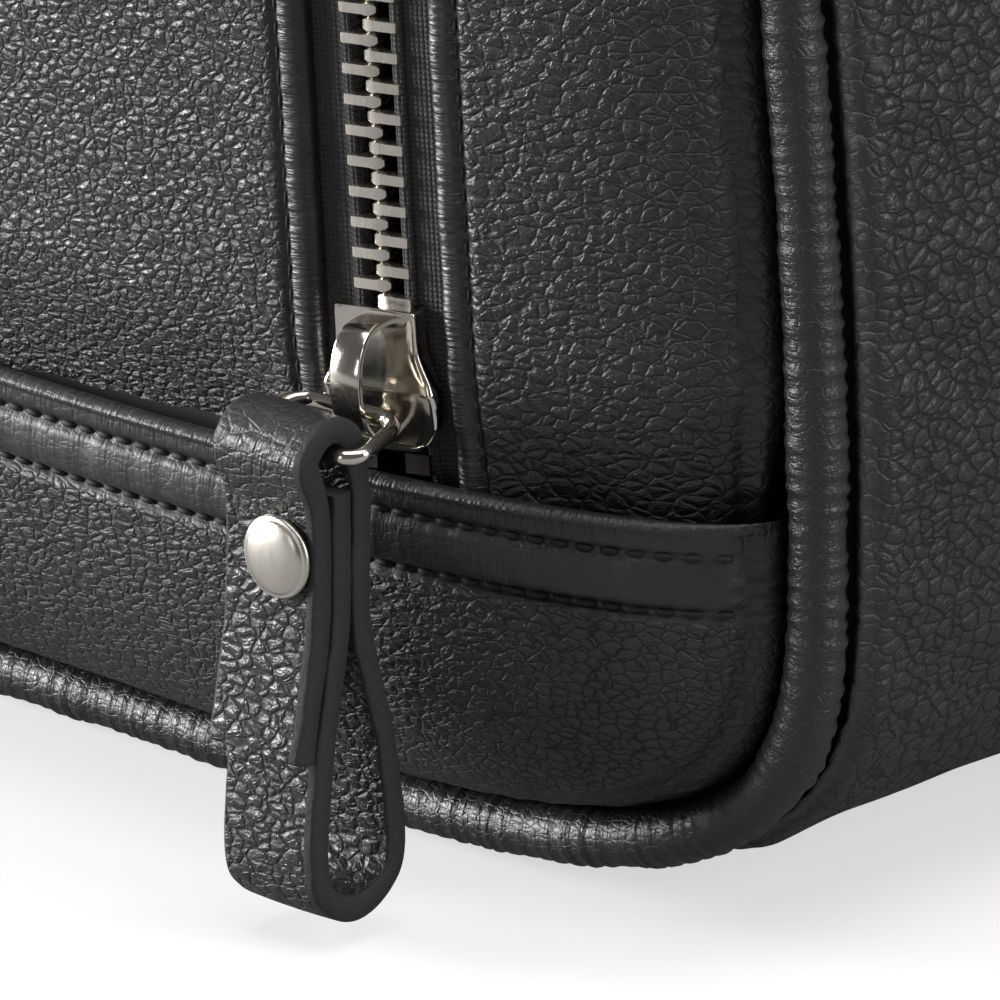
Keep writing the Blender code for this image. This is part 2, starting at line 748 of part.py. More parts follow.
def make_zip(nickel, tape):
    """Rows of teeth, tapes and end stops, parted where the door folds."""
    whole = 2 * half_length()
    slider = distance_at(SLIDER_HEIGHT)
    foot = slider - SLIDER_HALF_LENGTH + TOOTH
    fold_low = distance_at(FOLD_HEIGHT - FOLD_GAP) - TOOTH
    fold_high = distance_at(FOLD_HEIGHT + FOLD_GAP) + TOOTH
    teeth_row("zip_row_bag", foot, whole - foot, 1, nickel)
    teeth_row("zip_row_door", fold_high, whole - fold_high, -1, nickel)
    teeth_row("zip_row_root_right", foot, fold_low, -1, nickel)
    teeth_row("zip_row_root_left", whole - fold_low, whole - foot, -1, nickel)

    make_tape("zip_tape_bag", stations(-TAPE_TUCK, TAPE_ARC_STEPS), 1, tape)
    door_start = distance_at(FOLD_HEIGHT + FOLD_GAP)
    make_tape("zip_tape_door", stations(door_start, TAPE_ARC_STEPS), -1, tape)
    root_end = distance_at(FOLD_HEIGHT - FOLD_GAP)
    right = [-TAPE_TUCK, slider + SPREAD_END, slider + SPREAD_START, root_end]
    make_tape("zip_tape_root_right", right, -1, tape)
    left = [whole - distance for distance in right[::-1]]
    make_tape("zip_tape_root_left", left, -1, tape)

    stop_reach = (CORD_OUTER - TOOTH_TIP) / 2 + SPREAD
    stop_at = slider - STOP_DROP
    make_stop("zip_stop_bag", stop_at, stop_reach, STOP_HALF_WIDTH, nickel)
    make_stop("zip_stop_root", stop_at, -stop_reach, STOP_HALF_WIDTH, nickel)
    make_stop("zip_end_stop", whole - stop_at, 0.0, CORD_OUTER, nickel)


def slider_frame():
    """The slider's place: X across it, -Y out of the face, Z up along the straight chain."""
    low, _, _, _ = chain_frame(distance_at(SLIDER_HEIGHT))
    high, _, _, _ = chain_frame(run_length())
    centre, _, normal, _ = chain_frame(distance_at(SLIDER_HEIGHT))
    up = (high - low).normalized()
    right = up.cross(normal).normalized()
    inward = up.cross(right)
    matrix = Matrix((right, inward, up)).transposed().to_4x4()
    matrix.translation = centre
    return matrix


def prism(name, outline, low, high, finish, place=None):
    """An outline in X and Z pushed through from one Y to another."""
    count = len(outline)
    points = [Vector((x, y, z)) for y in (low, high) for x, z in outline]
    faces = [tuple(range(count)), tuple(range(2 * count - 1, count - 1, -1))]
    for here in range(count):
        there = (here + 1) % count
        faces.append((here, here + count, there + count, there))
    return add(name, points, faces, finish, place)


def cutter(obj):
    """Mark an object as a tool that only cuts."""
    obj.hide_render = True
    obj.display_type = "WIRE"
    return obj


def cut(body, tool):
    """Take a tool's shape away from a body."""
    modifier = body.modifiers.new(tool.name, "BOOLEAN")
    modifier.operation = "DIFFERENCE"
    modifier.solver = "EXACT"
    modifier.object = tool


def mirrored(half):
    """A symmetrical outline from its right half, listed from top to bottom."""
    return half + [(-x, z) for x, z in half[::-1]]


def make_slider_body(place, nickel):
    """Two plates held apart by a post, with channels for the rows and slots for the tape."""
    half = [
        (SLIDER_NECK, SLIDER_HALF_LENGTH),
        (SLIDER_NECK, SLIDER_FLARE_AT),
        (SLIDER_SHOULDER, SLIDER_SHOULDER_AT),
        (SLIDER_SHOULDER, SLIDER_HIP_AT),
        (SLIDER_TAIL, SLIDER_TAIL_AT),
        (SLIDER_FOOT, -SLIDER_HALF_LENGTH),
    ]
    body = prism("slider_body", mirrored(half), -SLIDER_PLATE_TOP, SLIDER_PLATE_TOP, nickel, place)
    top = SLIDER_HALF_LENGTH + CUT_OVERRUN
    inner = [
        (CHANNEL_NECK, top),
        (CHANNEL_NECK, SPREAD_START),
        (CHANNEL_TAIL, SPREAD_END),
        (CHANNEL_TAIL, -top),
        (POST_HALF_WIDTH, -top),
        (POST_HALF_WIDTH, SPREAD_END),
        (-CHANNEL_OVERLAP, POST_TIP_AT),
        (-CHANNEL_OVERLAP, top),
    ]
    reach = SLIDER_SHOULDER + CUT_OVERRUN
    for side, label in ((1, "right"), (-1, "left")):
        outline = [(side * x, z) for x, z in inner]
        channel = prism("channel_cut_" + label, outline, -CHANNEL_HALF_HEIGHT,
                        CHANNEL_HALF_HEIGHT, nickel, place)
        cut(body, cutter(channel))
        ends = sorted((side * SLOT_INNER, side * reach))
        slot = box("slot_cut_" + label, (ends[0], -SLOT_HALF_HEIGHT, -top),
                   (ends[1], SLOT_HALF_HEIGHT, top), nickel, place)
        cut(body, cutter(slot))


def make_bridge(place, nickel):
    """The arched bridge on the front plate."""
    outer, inner = [], []
    for step in range(TURN_STEPS + 1):
        angle = math.pi * step / TURN_STEPS
        along, rise = math.cos(angle), abs(math.sin(angle)) ** BRIDGE_POWER
        outer.append((BRIDGE_RISE + BRIDGE_HALF_LENGTH * along, BRIDGE_HEIGHT * rise))
        inner.append((BRIDGE_RISE + (BRIDGE_HALF_LENGTH - BRIDGE_THICKNESS) * along,
                      (BRIDGE_HEIGHT - BRIDGE_THICKNESS) * rise))
    outline = outer + inner[::-1]
    seat = -SLIDER_PLATE_TOP - BRIDGE_SEAT
    points = []
    for side in (-BRIDGE_HALF_WIDTH, BRIDGE_HALF_WIDTH):
        x = BRIDGE_SHIFT + side
        points += [Vector((x, seat - rise, along)) for along, rise in outline]
    count = len(outline)
    faces = []
    for here in range(count):
        there = (here + 1) % count
        faces.append((here, here + count, there + count, there))
    for step in range(TURN_STEPS):
        left = (step, step + 1, count - 2 - step, count - 1 - step)
        faces.append(left)
        faces.append(tuple(index + count for index in left[::-1]))
    add("slider_bridge", points, faces, nickel, place)


def make_ring(place, nickel):
    """The oval wire ring that joins the bridge and the pull tab. Its frame's origin is its back bar."""
    away = Vector((0.0, RING_BACK_OUT - RING_FRONT_OUT, RING_FRONT_UP - RING_BACK_UP))
    across_here = Vector((1, 0, 0))
    reach = away.length
    forward = away.normalized()
    half = RING_LENGTH / 2 - RING_WIRE_RADIUS
    centres = []
    corners = ((1, 0, 0), (1, 1, 90), (-1, 1, 180), (-1, 0, 270))
    for side, end, start in corners:
        x = RING_SHIFT + side * (half - RING_CORNER)
        y = RING_CORNER if end == 0 else reach - RING_CORNER
        for step in range(RING_CORNER_STEPS + 1):
            angle = math.radians(start - 90 + 90 * step / RING_CORNER_STEPS)
            centres.append(across_here * (x + RING_CORNER * math.cos(angle))
                           + forward * (y + RING_CORNER * math.sin(angle)))
    reference = across_here.cross(forward)
    closed_tube("pull_ring", centres, RING_SIDES, RING_WIRE_RADIUS, reference, nickel, place)


def arc(centre, radius, start, stop, steps):
    """Points round part of a circle, in degrees from out of the face towards down."""
    points = []
    for step in range(steps + 1):
        angle = math.radians(start + (stop - start) * step / steps)
        points.append((centre[0] + radius * math.cos(angle), centre[1] + radius * math.sin(angle)))
    return points


def curve_through(knots, steps):
    """A smooth curve that passes through every knot."""
    padded = [knots[0]] + knots + [knots[-1]]
    points = []
    for index in range(len(knots) - 1):
        before, start, stop, after = [Vector(knot) for knot in padded[index:index + 4]]
        for step in range(steps):
            t = step / steps
            points.append(0.5 * (2 * start + (stop - before) * t
                                 + (2 * before - 5 * start + 4 * stop - after) * t**2
                                 + (3 * start - before - 3 * stop + after) * t**3))
    return points + [Vector(knots[-1])]


def tab_middle_line():
    """One strip, as points out of the face and down from the fold's centre. It runs from its inner
    end down and round the hanging loop, up the back, over the ring's bar and down the flap."""
    middle = -TAB_SET_BACK
    back, front = middle - TAB_LAYER_PITCH, middle + TAB_LAYER_PITCH
    radius = (TAB_LOOP_FRONT + TAB_LOOP_BACK) / 2
    centre = (TAB_LOOP_FRONT - TAB_LOOP_BACK) / 2
    low = TAB_LOOP_LENGTH - TAB_LEATHER / 2 - radius
    drop = low - TAB_PINCH_END
    knots = [(middle, TAB_INNER_END), (middle, TAB_PINCH_START), (middle, TAB_PINCH_END)]
    flap = [(front, TAB_PINCH_START), (front, TAB_PINCH_END)]
    rise = []
    for down, forward, backward in zip(LOOP_DROP_SHARES, LOOP_FRONT_SHARES, LOOP_BACK_SHARES):
        place = TAB_PINCH_END + drop * down
        wall = middle + (TAB_LOOP_FRONT - middle) * forward
        knots.append((wall, place))
        rise.append((back - (TAB_LOOP_BACK + back) * backward, place))
        if place < TAB_FLAP_END:
            flap.append((wall + TAB_LAYER_PITCH, place))
    knots += arc((centre, low), radius, 0, 180, LOOP_STEPS) + rise[::-1]
    knots += [(back, TAB_PINCH_END), (back, TAB_PINCH_START)]
    share = LOOP_FRONT_SHARES[-1]
    flap.append((middle + (TAB_LOOP_FRONT - middle) * share + TAB_LAYER_PITCH, TAB_FLAP_END))
    fold = arc((0.0, 0.0), TAB_FOLD_RADIUS, 180, 360, FOLD_STEPS)
    return curve_through(knots + fold + flap, CURVE_STEPS)


def make_tab(place, leather):
    """The leather pull tab: one strip folded into a hanging loop and riveted below the ring."""
    line = tab_middle_line()
    half = TAB_LEATHER / 2
    left, right = [], []
    for index, point in enumerate(line):
        ahead = line[min(index + 1, len(line) - 1)]
        behind = line[max(index - 1, 0)]
        along = (ahead - behind).normalized()
        aside = Vector((-along.y, along.x)) * half
        left.append(point + aside)
        right.append(point - aside)
    count = len(line)
    ends = (TAB_SHIFT - TAB_HALF_WIDTH, TAB_SHIFT + TAB_HALF_WIDTH)
    points = [Vector((x, -p.x, -p.y - TAB_HANG)) for x in ends for side in (left, right)
              for p in side]
    faces = []
    for here in range(count - 1):
        quad = (here, here + 1, count + here + 1, count + here)
        faces.append(quad)
        faces.append(tuple(index + 2 * count for index in quad[::-1]))
    for first in (0, count):
        for here in range(count - 1):
            a = first + here
            quad = (a, a + 2 * count, a + 1 + 2 * count, a + 1)
            faces.append(quad if first == 0 else quad[::-1])
    faces.append((0, count, 3 * count, 2 * count))
    faces.append((count - 1, 3 * count - 1, 4 * count - 1, 2 * count - 1))
    tab = add("pull_tab", points, faces, leather, place)
    reach = TAB_LAYER_PITCH + TAB_LEATHER + CUT_OVERRUN
    hole = turned("rivet_hole_cut", [(RIVET_HOLE, -reach), (RIVET_HOLE, reach)], leather, place)
    hole.location = rivet_place()
    cut(tab, cutter(hole))


def rivet_place():
    """Where the rivet's axis crosses the pull tab's middle layer."""
    return Vector((TAB_SHIFT + RIVET_SHIFT, TAB_SET_BACK, -RIVET_DROP - TAB_HANG))


def turned(name, profile, finish, place):
    """A profile of radius and height turned about the local Y axis, closed at both ends."""
    sides = TURN_STEPS
    points = [Vector((0.0, profile[0][1], 0.0))]
    for radius, height in profile:
        for side in range(sides):
            angle = 2 * math.pi * side / sides
            points.append(Vector((radius * math.cos(angle), height, radius * math.sin(angle))))
    points.append(Vector((0.0, profile[-1][1], 0.0)))
    faces = []
    for side in range(sides):
        after = (side + 1) % sides
        faces.append((0, 1 + after, 1 + side))
        last = 1 + (len(profile) - 1) * sides
        faces.append((len(points) - 1, last + side, last + after))
        for ring in range(len(profile) - 1):
            here, there = 1 + ring * sides, 1 + (ring + 1) * sides
            faces.append((here + side, here + after, there + after, there + side))
    return add(name, points, faces, finish, place)


def make_rivet(place, nickel):
    """A domed cap whose shank goes through the three layers, and its plate at the back."""
    face = TAB_LAYER_PITCH + TAB_LEATHER / 2 + GAP
    profile = [(RIVET_RADIUS * out, -face - RIVET_CAP * up) for out, up in CROWN_SHARES]
    profile += [(RIVET_SHANK, -face), (RIVET_SHANK, face)]
    cap = turned("rivet_cap", profile, nickel, place)
    cap.location = rivet_place()
    seat = face + LAYER_GAP
    profile = [(RIVET_BACK_RADIUS, seat), (RIVET_BACK_RADIUS, seat + RIVET_BACK)]
    back = turned("rivet_back", profile, nickel, place)
    back.location = rivet_place()


def make_pull(nickel, leather):
    """The slider and what hangs on it, each carried by an empty on its joint's axis."""
    slider = empty("slider_place", slider_frame())
    make_slider_body(slider, nickel)
    make_bridge(slider, nickel)
    back_bar = Vector((0.0, -RING_BACK_OUT, RING_BACK_UP))
    turn = Matrix.Rotation(math.radians(RING_TWIST), 4, "Z")
    upright = Matrix.Rotation(ZIP_LEAN, 4, "Y")
    ring = empty("ring_axis", Matrix.Translation(back_bar) @ upright @ turn, slider)
    make_ring(ring, nickel)
    to_front = Vector((RING_SHIFT, RING_BACK_OUT - RING_FRONT_OUT, RING_FRONT_UP - RING_BACK_UP))
    turn = Matrix.Rotation(math.radians(TAB_TWIST), 4, "Z")
    tab = empty("tab_axis", Matrix.Translation(to_front) @ turn, ring)
    make_tab(tab, leather)
    make_rivet(tab, nickel)


def main():
    """Build the whole bag."""
    clear_scene()
    leather = material("black_leather", LEATHER_COLOUR, 0.5)
    lining = material("black_lining", LINING_COLOUR, 0.8)
    tape = material("black_tape", TAPE_COLOUR, 0.9)
    board = material("grey_board", BOARD_COLOUR, 0.9)
    nickel = material("nickel", NICKEL_COLOUR, 0.25, 1.0)
    make_front(leather, lining)
    make_rear(leather, lining)
    make_piping(leather)
    make_gusset(leather, lining, board)
    make_zip(nickel, tape)
    make_pull(nickel, leather)


main()
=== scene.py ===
"""Toiletry bag: its leather, lining, zip, slider, pull tab and a plain studio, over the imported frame.

Every piece is a surface worked out on a grid. All lengths are metres, the bag stands on z = 0 and
faces -Y. The zip runs in an upturned U round the door in the front.
"""
import math

import bmesh
import bpy
import numpy as np
from mathutils import Matrix, Vector


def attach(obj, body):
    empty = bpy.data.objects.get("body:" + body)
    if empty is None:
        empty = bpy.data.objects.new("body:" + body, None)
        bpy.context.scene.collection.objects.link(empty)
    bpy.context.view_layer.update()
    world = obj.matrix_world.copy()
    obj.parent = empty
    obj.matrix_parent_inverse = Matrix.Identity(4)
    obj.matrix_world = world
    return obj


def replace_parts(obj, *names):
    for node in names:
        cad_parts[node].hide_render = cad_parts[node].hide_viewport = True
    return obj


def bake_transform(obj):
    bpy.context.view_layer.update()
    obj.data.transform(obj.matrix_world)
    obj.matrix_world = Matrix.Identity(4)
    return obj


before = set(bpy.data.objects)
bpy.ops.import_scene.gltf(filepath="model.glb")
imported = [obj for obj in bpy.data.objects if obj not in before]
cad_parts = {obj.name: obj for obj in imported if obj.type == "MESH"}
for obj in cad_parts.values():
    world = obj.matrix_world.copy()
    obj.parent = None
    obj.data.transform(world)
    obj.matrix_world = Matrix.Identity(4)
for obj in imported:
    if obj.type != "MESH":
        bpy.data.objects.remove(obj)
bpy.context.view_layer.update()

bl_info = {
    "name": "Toiletry bag",
    "version": (1, 0, 0),
    "blender": (4, 5, 0),
    "location": "3D View > Sidebar > Bag",
    "description": "Builds a leather toiletry bag with a zipped front door over its frame",
    "category": "Object",
}

MM = 0.001

# The seam line of the front and rear panels
SEAM_HALF_WIDTH = 115.0 * MM
SEAM_BOTTOM = 5.4 * MM
SEAM_TOP = 160.0 * MM
SHOULDER_DRAW_IN = 8.0 * MM
DRAW_IN_START = 34.0 * MM
DRAW_IN_HEIGHT = 100.0 * MM
CORNER_POWER = 3.6
GUSSET_HALF_DEPTH = 40.0 * MM
SIDE_SWELL = 65.0 * MM
BOTTOM_SWELL = 28.0 * MM
TOP_SWELL = 45.0 * MM
FRONT_BELLY = 17.0 * MM
FRONT_BELLY_RISE = 0.6 * MM
BELLY_RISE_START = 50.0 * MM
BELLY_RISE_HEIGHT = 60.0 * MM
REAR_BELLY = 8.0 * MM
SLOPE_STEP = 0.01 * MM

# Sheet thicknesses, piping and gusset
LEATHER = 1.2 * MM
LINING = 0.5 * MM
PIPING_RADIUS = 2.5 * MM
PIPING_OFFSET = 2.8 * MM
GUSSET_OFFSET = 5.4 * MM
GUSSET_CROWN = 2.0 * MM
CROWN_START = 12.0 * MM
CROWN_HEIGHT = 40.0 * MM
GUSSET_JOIN = 112.0 * MM
GUSSET_EDGE = 37.3 * MM
GUSSET_LINING_OFFSET = 2.1 * MM

# The band at the top of the lower panel
BAND_BOTTOM = 28.6 * MM
BAND_TOP = 35.0 * MM
UPPER_STITCH = 33.2 * MM

# The zip's centre line and what lies beside it
ZIP_X = 84.9 * MM
ZIP_X_HEIGHT = 50.5 * MM
ZIP_LEAN_SHARE = 0.0684
ZIP_LEAN = math.atan(ZIP_LEAN_SHARE)
ZIP_TOP = 135.0 * MM
ZIP_CORNER = 22.0 * MM
CORNER_CENTRE_Z = ZIP_TOP - ZIP_CORNER
ZIP_LEATHER_GAP = 5.6 * MM
ZIP_LINING_GAP = 7.2 * MM
CHAIN_SINK = 1.9 * MM
PITCH = 2.43 * MM
TUCK = 2.6 * MM

# The slider, ring and pull tab
SLIDER_HEIGHT = 43.7 * MM
SLIDER_HALF_LENGTH = 5.65 * MM
PLATE_TOP = 2.2 * MM
BRIDGE_WIDTH = 2.7 * MM
BRIDGE_SHIFT = -0.3 * MM
BRIDGE_RISE = 0.05 * MM
BRIDGE_HALF_LENGTH = 4.75 * MM
BRIDGE_HEIGHT = 4.1 * MM
BRIDGE_THICKNESS = 0.6 * MM
BRIDGE_POWER = 0.7
RING_WIRE = 0.65 * MM
RING_LENGTH = 14.0 * MM
RING_CORNER = 1.9 * MM
RING_SHIFT = -1.5 * MM
RING_BACK_DRAW_IN = 1.3 * MM
RING_BACK_DROP = 0.8 * MM
RING_BACK = (4.0 * MM, -1.4 * MM)
RING_FRONT = (10.8 * MM, -3.3 * MM)
RING_TWIST = -6.0
TAB_HALF_WIDTH = 4.75 * MM
TAB_SHIFT = -0.3 * MM
TAB_TWIST = -3.0
TAB_LEATHER = 2.0 * MM
TAB_FOLD_RADIUS = 2.6 * MM
TAB_HANG = 0.65 * MM
TAB_SET_BACK = 0.95 * MM
TAB_LAYER_PITCH = 2.25 * MM
TAB_INNER_END = 2.6 * MM
TAB_PINCH_START = 4.2 * MM
TAB_PINCH_END = 13.0 * MM
TAB_FLAP_END = 23.5 * MM
TAB_LOOP_LENGTH = 37.7 * MM
TAB_LOOP_FRONT = 1.4 * MM
TAB_LOOP_BACK = 7.2 * MM
LOOP_DROP_SHARES = (0.31, 0.57)
LOOP_FRONT_SHARES = (0.42, 0.76)
LOOP_BACK_SHARES = (0.36, 0.72)
RIVET_DROP = 7.6 * MM
RIVET_SHIFT = 1.1 * MM

# The pleats beside the piped seams, the valley that the seam pulls, and the piping's unevenness
PLEAT_REACH = 1.9 * MM
PLEAT_REACH_SPREAD = 0.9 * MM
PLEAT_LEAST_REACH = 0.6 * MM
SEAM_VALLEY = 0.5 * MM
SEAM_VALLEY_PLACE = 1.2 * MM
SEAM_VALLEY_WIDTH = 0.8 * MM
PIPING_SKEW = 0.35 * MM
PIPING_SHRINK = 0.12 * MM
PIPING_UNEVEN = 0.10 * MM

# How the leather is divided beside the zip, and how far it sags and sinks
FINE = 0.5 * MM
COARSE = 1.6 * MM
DOOR_FAR = 60 * MM
DOOR_SAG = 0.30 * MM
DOOR_LOWERED = 0.3 * MM
DOOR_SLACK = 0.4 * MM
BORDER_FAR = 20 * MM
BORDER_SAG = 0.4 * MM
REAR_SAG = 0.5 * MM
REAR_CENTRE_Z = 84.0 * MM
TUCK_LEAST = 0.9 * MM
TUCK_MORE = 1.7 * MM
TUCK_HEIGHT = 13.0 * MM
GUSSET_DIP = 1.1 * MM
GUSSET_SLACK = 0.30 * MM
GUSSET_CREASE = 0.22 * MM
GUSSET_END_DROP = 0.5 * MM

# The folded edges beside the zip: the fold's inner end, its nose, its bead and its stitched groove
EDGE_UNDER = np.array([3.6, 3.4, 2.2]) * MM
EDGE_DEPTH = 2.3 * MM
EDGE_STATIONS = np.concatenate([np.arange(1.4, 4.2, 0.17), np.arange(4.2, 6.01, 0.36)]) * MM
EDGE_GROOVE = 0.42 * MM
EDGE_GROOVE_WIDTH = 0.34 * MM
NOSE_RISE = 1.2 * MM
NOSE_DROP = 1.05 * MM
BEAD_RISE = 0.15 * MM
BEAD_SHOULDER = 1.4 * MM
EDGE_SWELL = 0.11 * MM
EDGE_PULL = 0.07 * MM

# The lower panel and the relief of its band
PANEL_SAG = 0.35 * MM
PANEL_SAG_TOP = 28.0 * MM
PEBBLE_END = 27.4 * MM
RIB_START = 28.4 * MM
RIB_TOP = 34.0 * MM
RIB_FADE = 0.7 * MM
BAND_START = 27.0 * MM
BAND_RISE = 0.55 * MM
BAND_RISE_START = 28.3 * MM
BAND_RISE_HEIGHT = 1.6 * MM
BAND_MIDDLE = 31.0 * MM
BAND_PUFF = 0.16 * MM
BAND_PUFF_WIDTH = 1.3 * MM
BAND_FOLDS = 0.10 * MM
UPPER_GROOVE = 0.52 * MM
LOWER_GROOVE = 0.62 * MM
BAND_GROOVE_WIDTH = 0.48 * MM
STITCH_PULL = 0.06 * MM
STITCH_PULL_WIDTH = 0.9 * MM
BAND_FOLD_Z = 35.1 * MM
BAND_FOLD_REACH = 0.9 * MM
BAND_FOLD_HALF = 1.05 * MM
BAND_FOLD_DROP = 0.65 * MM
BAND_BACK_TOP = 34.6 * MM
BAND_BACK_DEPTH = 1.9 * MM

# The zip tape's cord, and the lining
TAPE = 0.5 * MM
TAPE_END_DROP = 0.9 * MM
CORD_PLACE = 2.3 * MM
CORD_REACH = 0.72 * MM
CORD_RISE = 0.75 * MM
CLOTH_START = 0.3 * MM
CLOTH_DEPTH = 3.8 * MM

# The slider's plates: half of their outline, and the rings that go up and over each
SLIDER_HALF = np.array([
    (3.55, 5.65), (3.75, 5.5), (3.75, 2.6), (4.05, 1.5), (5.02, -0.6), (5.1, -1.0),
    (5.1, -3.4), (4.9, -3.9), (4.1, -4.95), (3.7, -5.3), (2.5, -5.65)]) * MM
PLATE_RISES = np.array(
    [1.2, 0.75, 0.72, 0.8, 1.9, 2.1, 2.2, 2.2, 2.14, 2.12, 2.12, 2.12, 2.12]) * MM
PLATE_INSET_SHARES = (0.14, 0.12, 0.03, 0.0, 0.0, 0.015, 0.04, 0.10, 0.13, 0.3, 0.55, 0.8, 1.0)
DISH_LEAST_HEIGHT = 2.0 * MM
DISH_SLOPE_SHARE = 0.16
DISH_RISE_SHARE = 0.0125
SHOULDER_Z = -0.85 * MM
SHOULDER_WIDTH = 0.5 * MM
SHOULDER_RIDGE = 0.2 * MM
POST_HALF_DEPTH = 1.2 * MM
POST_WIDTHS = np.array([0.45, 0.45, 0.06]) * MM
POST_HEIGHTS = np.array([-3.0, -2.2, -1.2]) * MM
BRIDGE_BEVEL = 0.16 * MM

# The pull tab's edge and its worn fold, and the rivet's dome, rim, shank and plate
TAB_EDGE_RADIUS = 0.32 * MM
TAB_CROWN = 0.12 * MM
TAB_WAVE = 0.07 * MM
TAB_PRESS = 0.18 * MM
TAB_PRESS_RUN = 15.6 * MM
TAB_PRESS_WIDTH = 4.2 * MM
TAB_PRESS_HALF = 3.9 * MM
TAB_FOLD_RUN = 27.0 * MM
TAB_FOLD_WIDTH = 5.5 * MM
RIVET_BITE = 0.1 * MM
DOME_TURN = 1.45
DOME_RADIUS = 3.0 * MM
DOME_BASE = 0.55 * MM
DOME_RISE = 0.72 * MM
RIM_RADIUS = 0.35 * MM
RIM_BASE = 0.32 * MM
SHANK_RADIUS = 1.1 * MM
BACK_PLATE = np.array([(0, 0.0), (2.8, 0.0), (3.0, 0.15), (3.0, 0.5),
                       (2.8, 0.68), (1.3, 0.7), (0.9, 0.55), (0, 0.5)]) * MM

# The floor, what the lights aim at, and the camera
FLOOR_RADIUS = 8.0
FLOOR_DROP = 0.1 * MM
FLOOR_SIDES = 96
LIGHTS_AIM = Vector((0.05, -0.03, 0.06))
CAMERA_RIGHT = (0.7254, 0.6884, 0.0)
CAMERA_BACK = (0.6481, -0.6830, 0.3371)
CAMERA_TARGET = (0.078, -0.040, 0.0)
CAMERA_SLIDE = 4.77 * MM
CAMERA_LIFT = 26.6 * MM
CAMERA_LENS = 600.0
CAMERA_SENSOR = 36.0
PHOTO_WIDTH = 78.125 * MM

FRONT = -1.0
REAR = 1.0


class BagLook(bpy.types.PropertyGroup):
    """The sizes and colours that a user would change."""

    pebble: bpy.props.FloatProperty(
        name="Pebble", description="Width of the leather's pebbles", default=0.86 * MM, unit="LENGTH")
    pebble_depth: bpy.props.FloatProperty(
        name="Pebble depth", description="How deep the cracks between pebbles are",
        default=0.16 * MM, unit="LENGTH")
    pleat: bpy.props.FloatProperty(
        name="Pleat", description="Spacing of the piping's pleats", default=1.55 * MM, unit="LENGTH")
    pleat_depth: bpy.props.FloatProperty(
        name="Pleat depth", description="How far the pleats stand out", default=0.30 * MM,
        unit="LENGTH")
    stitch: bpy.props.FloatProperty(
        name="Stitch", description="Spacing of the stitches", default=1.93 * MM, unit="LENGTH")
    bead: bpy.props.FloatProperty(
        name="Bead", description="Width of the folded edges beside the zip", default=2.55 * MM,
        unit="LENGTH")
    leather_colour: bpy.props.FloatVectorProperty(
        name="Leather", description="Colour of the leather", size=4, subtype="COLOR",
        default=(0.013, 0.013, 0.0148, 1.0))
    metal_colour: bpy.props.FloatVectorProperty(
        name="Metal", description="Colour of the nickel", size=4, subtype="COLOR",
        default=(0.72, 0.68, 0.61, 1.0))
    lining_colour: bpy.props.FloatVectorProperty(
        name="Lining", description="Colour of the lining", size=4, subtype="COLOR",
        default=(0.022, 0.022, 0.025, 1.0))
    key_power: bpy.props.FloatProperty(
        name="Key light", description="Power of the large soft light", default=34.0, unit="POWER")
    fill_power: bpy.props.FloatProperty(
        name="Fill light", description="Power of the light from the right", default=7.0,
        unit="POWER")


def smooth(share):
    """An S-shaped ramp: 3h² - 2h³, where h is the share held between 0 and 1."""
    held = np.clip(share, 0.0, 1.0)
    return held * held * (3.0 - 2.0 * held)


def bell(value, middle, width):
    """A bell that is 1 at the middle: exp(-((value - middle) / width)²)."""
    return np.exp(-(((value - middle) / width) ** 2))


def wander(value, length, seed):
    """A slow wander within about -1 to 1: the mean of five sines of unrelated lengths."""
    phases = np.random.default_rng(seed).uniform(0, 2 * math.pi, 5)
    total = 0.0
    for index, phase in enumerate(phases):
        total = total + np.sin(2 * math.pi * value / (length * (0.6 + 0.37 * index)) + phase)
    return total / 3.0


def join(*parts):
    """Grids side by side."""
    return np.concatenate(parts, axis=1)


def pairs(first, second):
    """Two grids as one grid of pairs, such as a map of the surface."""
    return np.stack([first, second], axis=-1)


def crowded(count, share):
    """Shares from -1 to 1 that crowd towards both ends: sin(a t) / sin(a), where a is this share
    of a quarter turn."""
    reach = math.pi / 2 * share
    return np.sin(np.linspace(-1.0, 1.0, count) * reach) / math.sin(reach)


def fading_in(value, start, width, least=0.0):
    """An S-shaped rise from least to 1 that begins at start and is this wide."""
    return least + (1 - least) * smooth((value - start) / width)


def half_width(z):
    """The seam's half width without its corners: it draws in by an S-shaped ramp."""
    return SEAM_HALF_WIDTH - SHOULDER_DRAW_IN * smooth((z - DRAW_IN_START) / DRAW_IN_HEIGHT)


def end_share(z):
    """0 away from the bottom and top seams, rising straight to 1 on them."""
    low = 1 - (z - SEAM_BOTTOM) / BOTTOM_SWELL
    high = 1 - (SEAM_TOP - z) / TOP_SWELL
    return np.maximum(0.0, np.maximum(low, high))


def nearness(x, z):
    """0 deep in a panel and 1 on its seam: (side^p + end^p)^(1/p), a rounded rectangle."""
    side = np.maximum(0.0, 1 - (half_width(z) - np.abs(x)) / SIDE_SWELL)
    return (side**CORNER_POWER + end_share(z) ** CORNER_POWER) ** (1 / CORNER_POWER)


def seam_half(z):
    """The seam's half width with its corners: the x where nearness is 1."""
    side = (1 - np.minimum(1.0, end_share(z)) ** CORNER_POWER) ** (1 / CORNER_POWER)
    return half_width(z) - SIDE_SWELL * (1 - side)


def belly(facing, z):
    """How far a panel stands out from its seam where it is fullest."""
    if facing == REAR:
        return REAR_BELLY + 0.0 * z
    return FRONT_BELLY + FRONT_BELLY_RISE * smooth((z - BELLY_RISE_START) / BELLY_RISE_HEIGHT)


def level(facing, x, out, z):
    """1 on a panel's outer face: nearness² + (out / belly)²."""
    return nearness(x, z) ** 2 + (out / belly(facing, z)) ** 2


